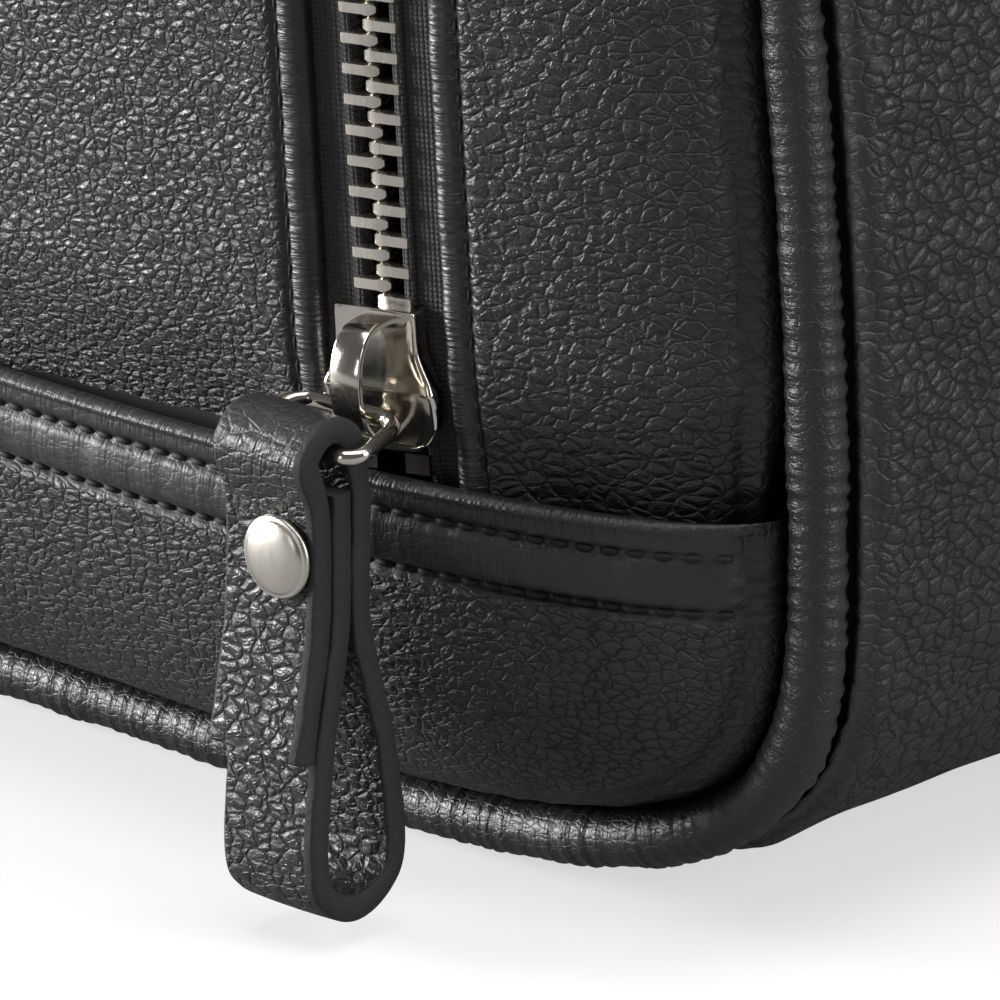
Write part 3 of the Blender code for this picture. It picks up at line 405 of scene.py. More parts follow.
def skin(facing, x, z, lift):
    """Points on a panel's face and their normals. The face stands out by belly * sqrt(1 - n²), n
    the nearness to the seam, and each point is then lifted along the slope of level()."""
    out = belly(facing, z) * np.sqrt(np.maximum(0.0, 1 - nearness(x, z) ** 2))
    step = SLOPE_STEP
    slope = np.stack([
        level(facing, x + step, out, z) - level(facing, x - step, out, z),
        facing * (level(facing, x, out + step, z) - level(facing, x, out - step, z)),
        level(facing, x, out, z + step) - level(facing, x, out, z - step),
    ], axis=-1)
    slope = slope / np.linalg.norm(slope, axis=-1, keepdims=True)
    place = np.stack([x + 0.0 * out, facing * (GUSSET_HALF_DEPTH + out), z + 0.0 * out], axis=-1)
    return place + slope * (lift + 0.0 * out)[..., None], slope


def seam_outline(step):
    """x, z and distance of evenly spaced points round the seam, from the middle of the bottom up
    the right side. Corners follow |cos|^(2/p), |sin|^(2/p)."""
    angle = np.linspace(0.0, math.pi / 2, 500)
    out = np.cos(angle) ** (2 / CORNER_POWER)
    along = np.sin(angle) ** (2 / CORNER_POWER)
    low_z = SEAM_BOTTOM + BOTTOM_SWELL * (1 - along)
    high_z = SEAM_TOP - TOP_SWELL * (1 - along)
    side_z = np.linspace(low_z[0], high_z[0], 400)[1:-1]
    low_x = half_width(low_z) - SIDE_SWELL * (1 - out)
    high_x = half_width(high_z) - SIDE_SWELL * (1 - out)
    x = np.concatenate([[0.0], low_x[::-1], half_width(side_z), high_x, [0.0]])
    z = np.concatenate([[SEAM_BOTTOM], low_z[::-1], side_z, high_z, [SEAM_TOP]])
    x = np.concatenate([x, -x[-2::-1]])
    z = np.concatenate([z, z[-2::-1]])
    run = np.concatenate([[0.0], np.cumsum(np.hypot(np.diff(x), np.diff(z)))])
    count = int(round(run[-1] / step))
    at = np.linspace(0.0, run[-1], count, endpoint=False)
    return np.interp(at, run, x), np.interp(at, run, z), at, run[-1]


def seam_normal(x, z):
    """The unit slope of nearness at points on the seam, out of the bag."""
    step = SLOPE_STEP
    across = nearness(x + step, z) - nearness(x - step, z)
    up = nearness(x, z + step) - nearness(x, z - step)
    length = np.hypot(across, up)
    return across / length, up / length


def seam_place(x, z):
    """For points on a panel: the distance round the seam of the nearest seam point, and how far off
    it is. The nearest of closely spaced seam points is found, then slid along the seam."""
    sx, sz, at, _ = seam_outline(0.8 * MM)
    tx, tz = np.roll(sx, -1) - np.roll(sx, 1), np.roll(sz, -1) - np.roll(sz, 1)
    length = np.hypot(tx, tz)
    tx, tz = tx / length, tz / length
    flat_x, flat_z = x.ravel(), z.ravel()
    run, off = np.empty(flat_x.size), np.empty(flat_x.size)
    for start in range(0, flat_x.size, 4000):
        px, pz = flat_x[start:start + 4000], flat_z[start:start + 4000]
        gap = (px[:, None] - sx) ** 2 + (pz[:, None] - sz) ** 2
        near = gap.argmin(axis=1)
        slide = (px - sx[near]) * tx[near] + (pz - sz[near]) * tz[near]
        run[start:start + 4000] = at[near] + slide
        off[start:start + 4000] = np.sqrt(np.maximum(0.0, gap.min(axis=1) - slide**2))
    return run.reshape(x.shape), off.reshape(x.shape)


def zip_x(z):
    """Where the zip's right run is: it leans in by a straight line."""
    return ZIP_X - ZIP_LEAN_SHARE * (z - ZIP_X_HEIGHT)


CORNER_CENTRE_X = zip_x(CORNER_CENTRE_Z) - ZIP_CORNER / math.cos(ZIP_LEAN)
RUN = (CORNER_CENTRE_Z + ZIP_CORNER * math.sin(ZIP_LEAN) - BAND_TOP) / math.cos(ZIP_LEAN)
ARC = ZIP_CORNER * (math.pi / 2 - ZIP_LEAN)
HALF_ZIP = RUN + ARC + CORNER_CENTRE_X


def zip_path(distance):
    """x, z and outward angle along the U: a straight run, a quarter circle, the level top, and the
    mirror image of these past the middle."""
    past = distance > HALF_ZIP
    here = np.where(past, 2 * HALF_ZIP - distance, distance)
    run_z = BAND_TOP + here * math.cos(ZIP_LEAN)
    turn = ZIP_LEAN + (here - RUN) / ZIP_CORNER
    on_run, on_arc = here < RUN, here < RUN + ARC
    x = np.where(on_run, zip_x(run_z), np.where(
        on_arc, CORNER_CENTRE_X + ZIP_CORNER * np.cos(turn), HALF_ZIP - here))
    z = np.where(on_run, run_z, np.where(
        on_arc, CORNER_CENTRE_Z + ZIP_CORNER * np.sin(turn), ZIP_TOP))
    angle = np.where(on_run, ZIP_LEAN, np.where(on_arc, turn, math.pi / 2))
    return np.where(past, -x, x), z, np.where(past, math.pi - angle, angle)


def beside_zip(distance, gap):
    """The point this far outside the U, along its normal; inside where the gap is negative."""
    x, z, angle = zip_path(distance)
    return x + gap * np.cos(angle), z + gap * np.sin(angle)


def distance_at(z):
    """How far along the right run a height is."""
    return (z - BAND_TOP) / math.cos(ZIP_LEAN)


def chain_frame(distance):
    """The chain's centre and its directions: outward from the U, out of the face, and along."""
    step = 0.1 * MM
    x, z, _ = zip_path(distance)
    centre, normal = skin(FRONT, x, z, -CHAIN_SINK + 0.0 * x)
    ahead_x, ahead_z, _ = zip_path(distance + step)
    behind_x, behind_z, _ = zip_path(distance - step)
    ahead = skin(FRONT, ahead_x, ahead_z, -CHAIN_SINK + 0.0 * x)[0]
    behind = skin(FRONT, behind_x, behind_z, -CHAIN_SINK + 0.0 * x)[0]
    along = ahead - behind
    along = along / np.linalg.norm(along, axis=-1, keepdims=True)
    aside = np.cross(along, normal)
    aside = aside / np.linalg.norm(aside, axis=-1, keepdims=True)
    return centre, aside, normal, along


def seam_from(x, z, angle):
    """The point on the seam in a direction, found by halving an interval thirty times."""
    low, high = np.zeros_like(x), np.full_like(x, 60.0 * MM)
    for _ in range(30):
        middle = (low + high) / 2
        inside = nearness(x + middle * np.cos(angle), z + middle * np.sin(angle)) < 1
        low, high = np.where(inside, middle, low), np.where(inside, high, middle)
    return x + low * np.cos(angle), z + low * np.sin(angle)


def zip_stations(start, fine, coarse):
    """Distances along the whole U: finely spaced up the right run, coarsely elsewhere."""
    right = np.arange(start, RUN, fine)
    arc = np.linspace(RUN, RUN + ARC, int(ARC / (0.6 * coarse)), endpoint=False)
    top = np.linspace(RUN + ARC, HALF_ZIP, int(CORNER_CENTRE_X / coarse))
    half = np.concatenate([right, arc, top])
    left = 2 * HALF_ZIP - np.concatenate([np.arange(start, RUN, coarse * 0.6), arc, top[:-1]])
    return half, np.concatenate([half, np.sort(left)])


def grid_faces(rows, columns, wrap_rows, wrap_columns):
    """Corner numbers of every cell of a grid, which may close on itself either way."""
    row = np.arange(rows if wrap_rows else rows - 1)
    column = np.arange(columns if wrap_columns else columns - 1)
    r, c = np.meshgrid(row, column, indexing="ij")
    after_r, after_c = (r + 1) % rows, (c + 1) % columns
    corners = [(r, c), (r, after_c), (after_r, after_c), (after_r, c)]
    faces = np.stack([a * columns + b for a, b in corners], axis=-1).reshape(-1, 4)
    uv_rows = np.stack([r, r, r + 1, r + 1], axis=-1).reshape(-1, 4)
    uv_columns = np.stack([c, after_c, after_c, c], axis=-1).reshape(-1, 4)
    return faces, uv_rows, uv_columns


def surface(name, grid, wrap_rows=False, wrap_columns=True, caps=True, uv=None, masks=None,
            finishes=(), finish_of=None, weld=False, sharp=None):
    """A mesh object from a grid of points. Rows are cross-sections, closed where columns wrap, and
    the first and last row are capped. It is turned so that the volume inside is positive."""
    rows, columns = grid.shape[:2]
    faces, uv_rows, uv_columns = grid_faces(rows, columns, wrap_rows, wrap_columns)
    polygons = faces.tolist()
    if caps and not wrap_rows:
        last = (rows - 1) * columns
        polygons += [list(range(columns))[::-1], list(range(last, last + columns))]
    mesh = bpy.data.meshes.new(name)
    mesh.from_pydata(grid.reshape(-1, 3).tolist(), [], polygons)
    if uv is not None:
        if wrap_rows:
            step = uv[-1:] - uv[-2:-1]
            uv = np.concatenate([uv, uv[-1:] + step])
        corner_uv = uv[uv_rows, uv_columns].reshape(-1, 2)
        extra = len(mesh.loops) - len(corner_uv)
        corner_uv = np.concatenate([corner_uv, np.zeros((extra, 2))]).astype(np.float32)
        mesh.uv_layers.new(name="along").data.foreach_set("uv", corner_uv.ravel())
    for label, values in (masks or {}).items():
        attribute = mesh.attributes.new(label, "FLOAT", "POINT")
        spread = np.broadcast_to(values, (rows, columns))
        attribute.data.foreach_set("value", spread.astype(np.float32).ravel())
    for finish in finishes:
        mesh.materials.append(finish)
    if finish_of is not None:
        chosen = np.broadcast_to(finish_of, (rows, columns)).reshape(-1)
        numbers = np.full(len(mesh.polygons), finish_of[0, 0] if caps else 0)
        numbers[:len(faces)] = chosen[faces[:, 0]]
        if caps and not wrap_rows:
            numbers[len(faces):] = chosen.max()
        mesh.polygons.foreach_set("material_index", numbers.astype(np.int32))
    return finish_mesh(mesh, weld, sharp)


def finish_mesh(mesh, weld=False, sharp=None):
    """Merge doubles if asked, turn the faces outwards, shade smooth and make the object."""
    work = bmesh.new()
    work.from_mesh(mesh)
    if weld:
        bmesh.ops.remove_doubles(work, verts=work.verts, dist=0.002 * MM)
    if work.calc_volume(signed=True) < 0:
        bmesh.ops.reverse_faces(work, faces=work.faces)
    work.to_mesh(mesh)
    work.free()
    mesh.shade_smooth()
    if sharp is not None:
        mesh.set_sharp_from_angle(angle=math.radians(sharp))
    obj = bpy.data.objects.new(mesh.name, mesh)
    bpy.context.scene.collection.objects.link(obj)
    return obj


def copies(name, template, faces, centres, axes, finish, sharp=None):
    """One mesh of many like pieces: each template point is centre + a * first axis + b * second
    axis + c * third axis, for every centre at once."""
    first, second, third = axes
    points = (centres[:, None] + template[None, :, :1] * first[:, None]
              + template[None, :, 1:2] * second[:, None] + template[None, :, 2:3] * third[:, None])
    count = len(template)
    polygons = []
    for face in faces:
        block = np.asarray(face)[None] + (np.arange(len(centres)) * count)[:, None]
        polygons += block.tolist()
    mesh = bpy.data.meshes.new(name)
    mesh.from_pydata(points.reshape(-1, 3).tolist(), [], polygons)
    mesh.materials.append(finish)
    return finish_mesh(mesh, False, sharp)


def put(tree, kind, settings=None, inputs=None):
    """Add a node. An input that is given a socket is linked, any other value is set."""
    node = tree.nodes.new(kind)
    for label, value in (settings or {}).items():
        setattr(node, label, value)
    for label, value in (inputs or {}).items():
        if isinstance(value, bpy.types.NodeSocket):
            tree.links.new(value, node.inputs[label])
        else:
            node.inputs[label].default_value = value
    return node


def sums(tree, operation, first, second):
    """The output of a Math node."""
    return put(tree, "ShaderNodeMath", {"operation": operation}, {0: first, 1: second}).outputs[0]


def ramp(tree, value, low, high):
    """A smooth step from 0 at low to 1 at high."""
    return put(tree, "ShaderNodeMapRange", {"interpolation_type": "SMOOTHSTEP"},
               {0: value, 1: low, 2: high}).outputs[0]


def group(name, wanted, given):
    """An empty node group with named number inputs and outputs."""
    tree = bpy.data.node_groups.new(name, "ShaderNodeTree")
    for label in wanted:
        tree.interface.new_socket(name=label, in_out="INPUT", socket_type="NodeSocketFloat")
    for label in given:
        tree.interface.new_socket(name=label, in_out="OUTPUT", socket_type="NodeSocketFloat")
    return tree, put(tree, "NodeGroupInput"), put(tree, "NodeGroupOutput")


def object_place(tree):
    """The point's place in the piece's own frame."""
    return put(tree, "ShaderNodeTexCoord").outputs["Object"]


def noise(tree, place, scale, detail):
    """The output of a Noise Texture node."""
    return put(tree, "ShaderNodeTexNoise", None,
               {"Vector": place, "Scale": scale, "Detail": detail}).outputs[0]


def along_across(tree):
    """The piece's own map, in metres along it and across it, as two numbers."""
    place = put(tree, "ShaderNodeUVMap", {"uv_map": "along"}).outputs[0]
    return put(tree, "ShaderNodeSeparateXYZ", None, {0: place}).outputs[:2]


def grain_group():
    """Leather grain: pebbles from a cell pattern with fine creases, and ribs across folded edges.
    The marks named grain and rib on a piece say where each shows."""
    found = bpy.data.node_groups.get("Leather grain")
    if found:
        return found
    tree, start, end = group("Leather grain", ("Pebble", "Depth", "Rib Pitch", "Rib Depth"),
                             ("Height", "Crack", "Rib"))
    tilted = put(tree, "ShaderNodeMapping", None, {
        0: object_place(tree), "Rotation": (0.1, 0.28, 0.0), "Scale": (0.70, 0.86, 1.12)}).outputs[0]
    fineness = sums(tree, "DIVIDE", 1.0, start.outputs["Pebble"])
    cells = put(tree, "ShaderNodeVectorMath", {"operation": "SCALE"},
                {0: tilted, "Scale": fineness}).outputs[0]
    bend = put(tree, "ShaderNodeTexNoise", None, {"Vector": cells, "Scale": 0.7, "Detail": 2.0})
    shift = put(tree, "ShaderNodeVectorMath", {"operation": "MULTIPLY_ADD"},
                {0: bend.outputs[1], 1: (0.9, 0.9, 0.9), 2: cells}).outputs[0]
    large, small = (put(tree, "ShaderNodeTexVoronoi", {"feature": "DISTANCE_TO_EDGE"},
                        {"Vector": shift, "Scale": scale}).outputs[0] for scale in (1.0, 2.3))
    plateau = ramp(tree, large, 0.005, 0.125)
    flat = put(tree, "ShaderNodeMapping", None, {0: cells, "Scale": (0.13, 0.13, 0.42)}).outputs[0]
    lumps = put(tree, "ShaderNodeTexNoise", None,
                {"Vector": flat, "Scale": 1.0, "Detail": 2.0, "Distortion": 0.6}).outputs[0]
    pebbles = sums(tree, "MULTIPLY", plateau, 0.70)
    for part, share in ((ramp(tree, large, 0.0, 0.5), 0.80), (ramp(tree, small, 0.0, 0.11), 0.20),
                        (noise(tree, cells, 5.0, 3.0), 0.10), (lumps, 1.0)):
        pebbles = sums(tree, "ADD", pebbles, sums(tree, "MULTIPLY", part, share))
    grain = put(tree, "ShaderNodeAttribute", {"attribute_name": "grain"}).outputs["Fac"]
    ribbed = put(tree, "ShaderNodeAttribute", {"attribute_name": "rib"}).outputs["Fac"]
    height = sums(tree, "MULTIPLY", pebbles, start.outputs["Depth"])
    height = sums(tree, "MULTIPLY", height, grain)
    along, across = along_across(tree)
    narrow = sums(tree, "DIVIDE", along, start.outputs["Rib Pitch"])
    rib_length = sums(tree, "MULTIPLY", start.outputs["Rib Pitch"], 7.0)
    strips = put(tree, "ShaderNodeCombineXYZ", None,
                 {0: narrow, 1: sums(tree, "DIVIDE", across, rib_length)}).outputs[0]
    fibre = put(tree, "ShaderNodeTexNoise", None,
                {"Vector": strips, "Scale": 1.0, "Detail": 3.0, "Roughness": 0.6}).outputs[0]
    ribs = sums(tree, "MULTIPLY", ramp(tree, fibre, 0.28, 0.72), ribbed)
    height = sums(tree, "ADD", height, sums(tree, "MULTIPLY", ribs, start.outputs["Rib Depth"]))
    # The crack mask also darkens the leather's colour in its cracks, as painted shade.
    crack = sums(tree, "MULTIPLY", sums(tree, "SUBTRACT", 1.0, plateau), grain)
    for label, value in (("Height", height), ("Crack", crack), ("Rib", ribs)):
        tree.links.new(value, end.inputs[label])
    return tree


def weave_group():
    """A plain weave from the piece's own along-and-across map: two waves at right angles that pass
    over and under each other."""
    found = bpy.data.node_groups.get("Plain weave")
    if found:
        return found
    tree, start, end = group("Plain weave", ("Thread", "Depth"), ("Height", "Gap"))
    turn = sums(tree, "DIVIDE", math.pi, start.outputs["Thread"])
    first, second = (sums(tree, "SINE", sums(tree, "MULTIPLY", way, turn), 0.0)
                     for way in along_across(tree))
    both = sums(tree, "ABSOLUTE", sums(tree, "MULTIPLY", first, second), 0.0)
    bump = sums(tree, "POWER", both, 0.6)
    tree.links.new(sums(tree, "MULTIPLY", bump, start.outputs["Depth"]), end.inputs["Height"])
    # The gap mask is where the threads sink; the cloth is darkened there as painted shade.
    tree.links.new(sums(tree, "SUBTRACT", 1.0, bump), end.inputs["Gap"])
    return tree


def new_material(name):
    """A new material, its node tree and its Principled shader."""
    made = bpy.data.materials.new(name)
    made.use_nodes = True
    return made, made.node_tree, made.node_tree.nodes["Principled BSDF"]


def scaled(colour, share):
    """A colour made darker or lighter."""
    return (colour[0] * share, colour[1] * share, colour[2] * share, 1.0)


def made_once(build):
    """Wrap a function that makes a named material: asked again, it gives the one that exists."""
    def give(name, *values):
        return bpy.data.materials.get(name) or build(name, *values)
    return give


def paint(tree, shader, mask, first, second):
    """Colour the shader: the first colour, going to the second as the mask rises."""
    mix = put(tree, "ShaderNodeMix", {"data_type": "RGBA"}, {0: mask})
    mix.inputs[6].default_value = first
    mix.inputs[7].default_value = second
    tree.links.new(mix.outputs[2], shader.inputs["Base Color"])


def raise_surface(tree, shader, height):
    """Let a height in metres bend the shader's normal."""
    bump = put(tree, "ShaderNodeBump", None, {"Height": height, "Distance": 1.0})
    tree.links.new(bump.outputs[0], shader.inputs["Normal"])


@made_once
def leather(name, pebble, depth, rough, rib_pitch=0.45, rib_depth=0.09):
    """Black pebbled leather with painted shade in its cracks: pebble and depth are shares of the user's
    sizes, the ribs are in mm.
    """
    look = bpy.context.scene.bag_look
    made, tree, shader = new_material(name)
    grain = put(tree, "ShaderNodeGroup", {"node_tree": grain_group()}, {
        "Pebble": look.pebble * pebble, "Depth": look.pebble_depth * depth,
        "Rib Pitch": rib_pitch * MM, "Rib Depth": rib_depth * MM})
    colour = tuple(look.leather_colour)
    # Painted shade: the cracks go to 6% of the leather's colour.
    paint(tree, shader, grain.outputs["Crack"], colour, scaled(colour, 0.06))
    worn = noise(tree, object_place(tree), 90.0, 3.0)
    gloss = sums(tree, "MULTIPLY", worn, 0.16)
    gloss = sums(tree, "ADD", gloss, sums(tree, "MULTIPLY", grain.outputs["Crack"], 0.45))
    tree.links.new(sums(tree, "ADD", gloss, rough - 0.15), shader.inputs["Roughness"])
    raise_surface(tree, shader, grain.outputs["Height"])
    shader.inputs["Specular IOR Level"].default_value = 0.65
    return made


@made_once
def cut_edge(name):
    """The matt cut edge of thick leather, with short fibres."""
    made, tree, shader = new_material(name)
    fibre = noise(tree, object_place(tree), 2600.0, 4.0)
    paint(tree, shader, fibre, (0.012, 0.012, 0.013, 1), (0.03, 0.03, 0.032, 1))
    shader.inputs["Roughness"].default_value = 0.72
    raise_surface(tree, shader, sums(tree, "MULTIPLY", fibre, 0.08 * MM))
    return made


@made_once
def fabric(name, colour, thread, depth, rough):
    """Woven cloth with painted shade between its threads: thread width and depth in mm."""
    made, tree, shader = new_material(name)
    weave = put(tree, "ShaderNodeGroup", {"node_tree": weave_group()},
                {"Thread": thread * MM, "Depth": depth * MM})
    # Painted shade: the gaps between threads go to a quarter of the cloth's colour.
    paint(tree, shader, weave.outputs["Gap"], colour, scaled(colour, 0.25))
    shader.inputs["Roughness"].default_value = rough
    shader.inputs["Sheen Weight"].default_value = 0.15
    raise_surface(tree, shader, weave.outputs["Height"])
    return made


@made_once
def metal(name, rough, scratch, share=1.0):
    """Nickel with fine wear: a stretched noise changes its gloss, and scratches it by so many mm.
    The share makes the user's colour darker."""
    made, tree, shader = new_material(name)
    colour = scaled(tuple(bpy.context.scene.bag_look.metal_colour), share)
    place = object_place(tree)
    long = put(tree, "ShaderNodeMapping", None, {0: place, "Scale": (1.0, 1.0, 0.12)}).outputs[0]
    wear = noise(tree, long, 2400.0, 3.0)
    shade = ramp(tree, noise(tree, place, 420.0, 2.0), 0.25, 0.75)
    paint(tree, shader, shade, scaled(colour, 0.86), colour)
    shader.inputs["Metallic"].default_value = 1.0
    gloss = sums(tree, "MULTIPLY", wear, 0.16)
    tree.links.new(sums(tree, "ADD", gloss, rough - 0.08), shader.inputs["Roughness"])
    raise_surface(tree, shader, sums(tree, "MULTIPLY", wear, scratch * MM))
    return made


@made_once
def plain(name, colour, rough, grain_size):
    """A matt material with slight mottling."""
    made, tree, shader = new_material(name)
    paint(tree, shader, noise(tree, object_place(tree), grain_size, 3.0), scaled(colour, 0.7), colour)
    shader.inputs["Roughness"].default_value = rough
    return made


def lining_fabric():
    """The bag's black lining."""
    colour = tuple(bpy.context.scene.bag_look.lining_colour)
    return fabric("lining", colour, 0.32, 0.04, 0.75)


def pleats(run, seed):
    """Uneven ridges of 0 to 1 across the seam: a cosine of the distance, its phase wandering."""
    pitch = bpy.context.scene.bag_look.pleat
    phase = 2 * math.pi * run / pitch + 1.9 * wander(run, 9.0 * MM, seed)
    ridge = (0.5 + 0.5 * np.cos(phase)) ** 1.4
    return ridge * (0.62 + 0.38 * wander(run, 5.3 * MM, seed + 1))


def seam_pull(run, off, seed):
    """How far pleats lift the leather near a piped seam, which itself pulls it into a valley."""
    depth = bpy.context.scene.bag_look.pleat_depth
    reach = PLEAT_REACH + PLEAT_REACH_SPREAD * wander(run, 6.1 * MM, seed + 2)
    fade = np.exp(-off / np.maximum(reach, PLEAT_LEAST_REACH))
    lifted = depth * 1.1 * pleats(run, seed) * fade
    return lifted - SEAM_VALLEY * bell(off, SEAM_VALLEY_PLACE, SEAM_VALLEY_WIDTH)


def soft_waves(x, z, amount):
    """Slow sag of a panel: two products of sines, together within the amount."""
    first = np.sin(x / (11.0 * MM) + 0.7) * np.sin(z / (15.0 * MM) + 2.1)
    second = np.sin((x + 0.6 * z) / (7.3 * MM) + 1.3) * np.sin((z - 0.3 * x) / (19.0 * MM))
    return amount * (0.62 * first + 0.38 * second)


def edge_profile():
    """The section of a folded edge as offsets from the edge and lifts: back under the fold, round
    its nose on half an ellipse, then over the bead and its stitched groove."""
    width = bpy.context.scene.bag_look.bead
    nose = 0.5 * width
    turn = np.radians(np.linspace(262.0, 92.0, 15))
    under = [-LEATHER, -EDGE_DEPTH, -EDGE_DEPTH]
    over = BEAD_RISE * (1 - smooth((EDGE_STATIONS - nose) / BEAD_SHOULDER))
    over = over - EDGE_GROOVE * bell(EDGE_STATIONS, width, EDGE_GROOVE_WIDTH)
    return (np.concatenate([EDGE_UNDER, nose + nose * np.cos(turn), EDGE_STATIONS]),
            np.concatenate([under, NOSE_RISE * np.sin(turn) - NOSE_DROP, over]))


def edge_marks(t):
    """Where the folded edge shows ribs and where the pebbles begin."""
    width = bpy.context.scene.bag_look.bead
    return smooth((t - width) / (1.3 * MM)), 1 - smooth((t - 0.85 * width) / (0.9 * MM))


def edge_waves(distance, t, seed):
    """Small uneven swellings along a folded edge, and the pull of each stitch."""
    look = bpy.context.scene.bag_look
    swell = EDGE_SWELL * wander(distance, 7.0 * MM, seed) * bell(t, 0.9 * MM, 1.5 * MM)
    pull = EDGE_PULL * np.cos(2 * math.pi * distance / look.stitch) * bell(t, look.bead, 1.1 * MM)
    return swell + pull


def tuck_under(z, far):
    """How far the leather above the band sinks to pass behind it: less beside the zip."""
    depth = TUCK_LEAST + TUCK_MORE * fading_in(far, 1.5 * MM, 8.0 * MM)
    return -depth * (1 - fading_in(z, BAND_TOP - 0.6 * MM, TUCK_HEIGHT))


def panel_section():
    """The lower panel's section, as heights up its outer face, then heights and lifts round the
    band's folded top, then down its inner face."""
    quarter = np.linspace(0, math.pi / 2, 46)
    low = SEAM_BOTTOM + (BAND_START - SEAM_BOTTOM) * (1 - np.cos(quarter))
    band = np.arange(27.2, 35.1, 0.2) * MM
    turn = np.radians(np.linspace(80.0, -80.0, 10))
    folded = BAND_FOLD_Z + BAND_FOLD_REACH * np.cos(turn)
    folded_lift = BAND_FOLD_HALF * np.sin(turn) - BAND_FOLD_DROP
    back = np.linspace(BAND_BACK_TOP, SEAM_BOTTOM, 14)
    back_lift = np.where(back > BAND_START, -BAND_BACK_DEPTH, -LEATHER)
    return np.concatenate([low, band]), (folded, folded_lift), (back, back_lift)


def band_relief(x, z):
    """How far the band stands out: a step up, a puff between two stitched grooves, the pull of
    each stitch and some uneven folds."""
    look = bpy.context.scene.bag_look
    relief = BAND_RISE * fading_in(z, BAND_RISE_START, BAND_RISE_HEIGHT)
    relief = relief + BAND_PUFF * bell(z, BAND_MIDDLE, BAND_PUFF_WIDTH)
    stitched = 0.0
    for height, groove in ((UPPER_STITCH, UPPER_GROOVE), (BAND_BOTTOM, LOWER_GROOVE)):
        relief = relief - groove * bell(z, height, BAND_GROOVE_WIDTH)
        stitched = stitched + bell(z, height, STITCH_PULL_WIDTH)
    relief = relief + STITCH_PULL * np.cos(2 * math.pi * x / look.stitch) * stitched
    return relief + BAND_FOLDS * wander(x, 4.5 * MM, 5) * bell(z, BAND_MIDDLE, 3.0 * MM)


def build_lower_panel():
    """The lower panel: a section from the bottom seam up over the band, whose top edge is folded
    back, carried from side to side as x = share * seam half width."""
    outer, (folded, folded_lift), (back, back_lift) = panel_section()
    z = np.concatenate([outer, folded, back])
    x = crowded(460, 0.86)[:, None] * seam_half(z)[None]
    z = z[None] + 0.0 * x
    run, off = seam_place(x, z)
    kept = 1 - np.clip(nearness(x, z), 0, 1) ** 12
    lift = band_relief(x, z) * kept
    lift = lift + soft_waves(x, z, PANEL_SAG) * kept * (z < PANEL_SAG_TOP)
    lift = lift + seam_pull(run, off, 11)
    fold_columns = slice(len(outer), -len(back))
    lift[:, fold_columns] = (folded_lift + BAND_RISE)[None] * kept[:, fold_columns]
    lift[:, -len(back):] = back_lift[None]
    grain = (1 - fading_in(z, PEBBLE_END, 0.9 * MM)) * fading_in(off, 0.8 * MM, 3.0 * MM, 0.35)
    rib = fading_in(z, RIB_START, RIB_FADE) * fading_in(z, RIB_TOP, RIB_FADE, 0.35)
    made = surface("lower_panel", skin(FRONT, x, z, lift)[0], uv=pairs(x, z),
                   masks={"grain": np.maximum(grain, 0.12), "rib": rib},
                   finishes=[leather("lower leather", 1.05, 0.8, 0.50)])
    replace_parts(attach(made, "bag"), "front_lower_panel")


def whole_section(right, under, mirror=1.0):
    """The door's whole section from its right half and what lies under that, out and back. The
    left half is the right one times the mirror's sign."""
    return join(right, mirror * right[:, -2::-1], mirror * under[:, ::-1], under[:, 1:])


def build_door():
    """The door's leather: sections run from the folded edge at the right, over the middle to the one
    at the left, and close up at the top."""
    half, _ = zip_stations(-TUCK, FINE, COARSE)
    t, lift = edge_profile()
    spread = np.linspace(0.0, 1.0, 52)[1:]
    pole = np.interp(half, [-TUCK, RUN], [BAND_TOP - TUCK, CORNER_CENTRE_Z])
    x, z = beside_zip(half[:, None], -(ZIP_LEATHER_GAP + t[None]))
    side_x, side_z = x[:, -1:], z[:, -1:]
    x = join(x, side_x * (1 - spread))
    z = join(z, side_z + (pole[:, None] - side_z) * spread)
    along = half[:, None] + 0 * x
    far = np.concatenate([t, t[-1] + spread * DOOR_FAR])[None] + 0 * x
    top = np.concatenate([lift, 0 * spread])[None] + 0 * x
    top = top + edge_waves(along, far, 21) * (far > 0)
    sag = soft_waves(x, z, DOOR_SAG) - DOOR_LOWERED * fading_in(z, 46 * MM, 14 * MM)
    sag = sag * fading_in(far, 3.0 * MM, 9.0 * MM)
    top[:, 3:] += (sag + tuck_under(z, far))[:, 3:]
    under_x, under_z = (grid[:, len(t):][:, ::-5] for grid in (x, z))
    below = -LEATHER + tuck_under(under_z, 0.0) - DOOR_SLACK
    grain, rib = edge_marks(far)
    fill = np.zeros_like(under_x)
    grain, rib, far = (whole_section(mark, fill) for mark in (grain, rib, far))
    grid = skin(FRONT, whole_section(x, under_x, -1.0), whole_section(z, under_z),
                whole_section(top, below))[0]
    made = surface("door_leather", grid, uv=pairs(half[:, None] + 0 * far, far),
                   masks={"grain": grain, "rib": rib}, weld=True,
                   finishes=[leather("door leather", 0.98, 0.95, 0.46)])
    fold(made)
    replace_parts(made, "door_panel", "door_root")


def fold(piece):
    """Bake the piece's placement into its points."""
    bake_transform(piece)


def border_sections(gap, start, fine, coarse, offsets, shares):
    """x and z of sections from beside the zip out to the seam. The first columns are offsets from
    the zip, the others shares of the way to the seam, level beside the runs and upright on top."""
    _, whole = zip_stations(start, fine, coarse)
    angle = zip_path(whole)[2]
    aim = (np.minimum(angle, math.pi - angle) - ZIP_LEAN) * (math.pi / 2)
    aim = aim / (math.pi / 2 - ZIP_LEAN)
    aim = np.where(angle <= math.pi / 2, aim, math.pi - aim)
    x, z = beside_zip(whole[:, None], gap + offsets[None])
    seam_x, seam_z = seam_from(x[:, -1], z[:, -1], aim)
    x = join(x, x[:, -1:] + (seam_x[:, None] - x[:, -1:]) * shares)
    return whole, x, join(z, z[:, -1:] + (seam_z[:, None] - z[:, -1:]) * shares)


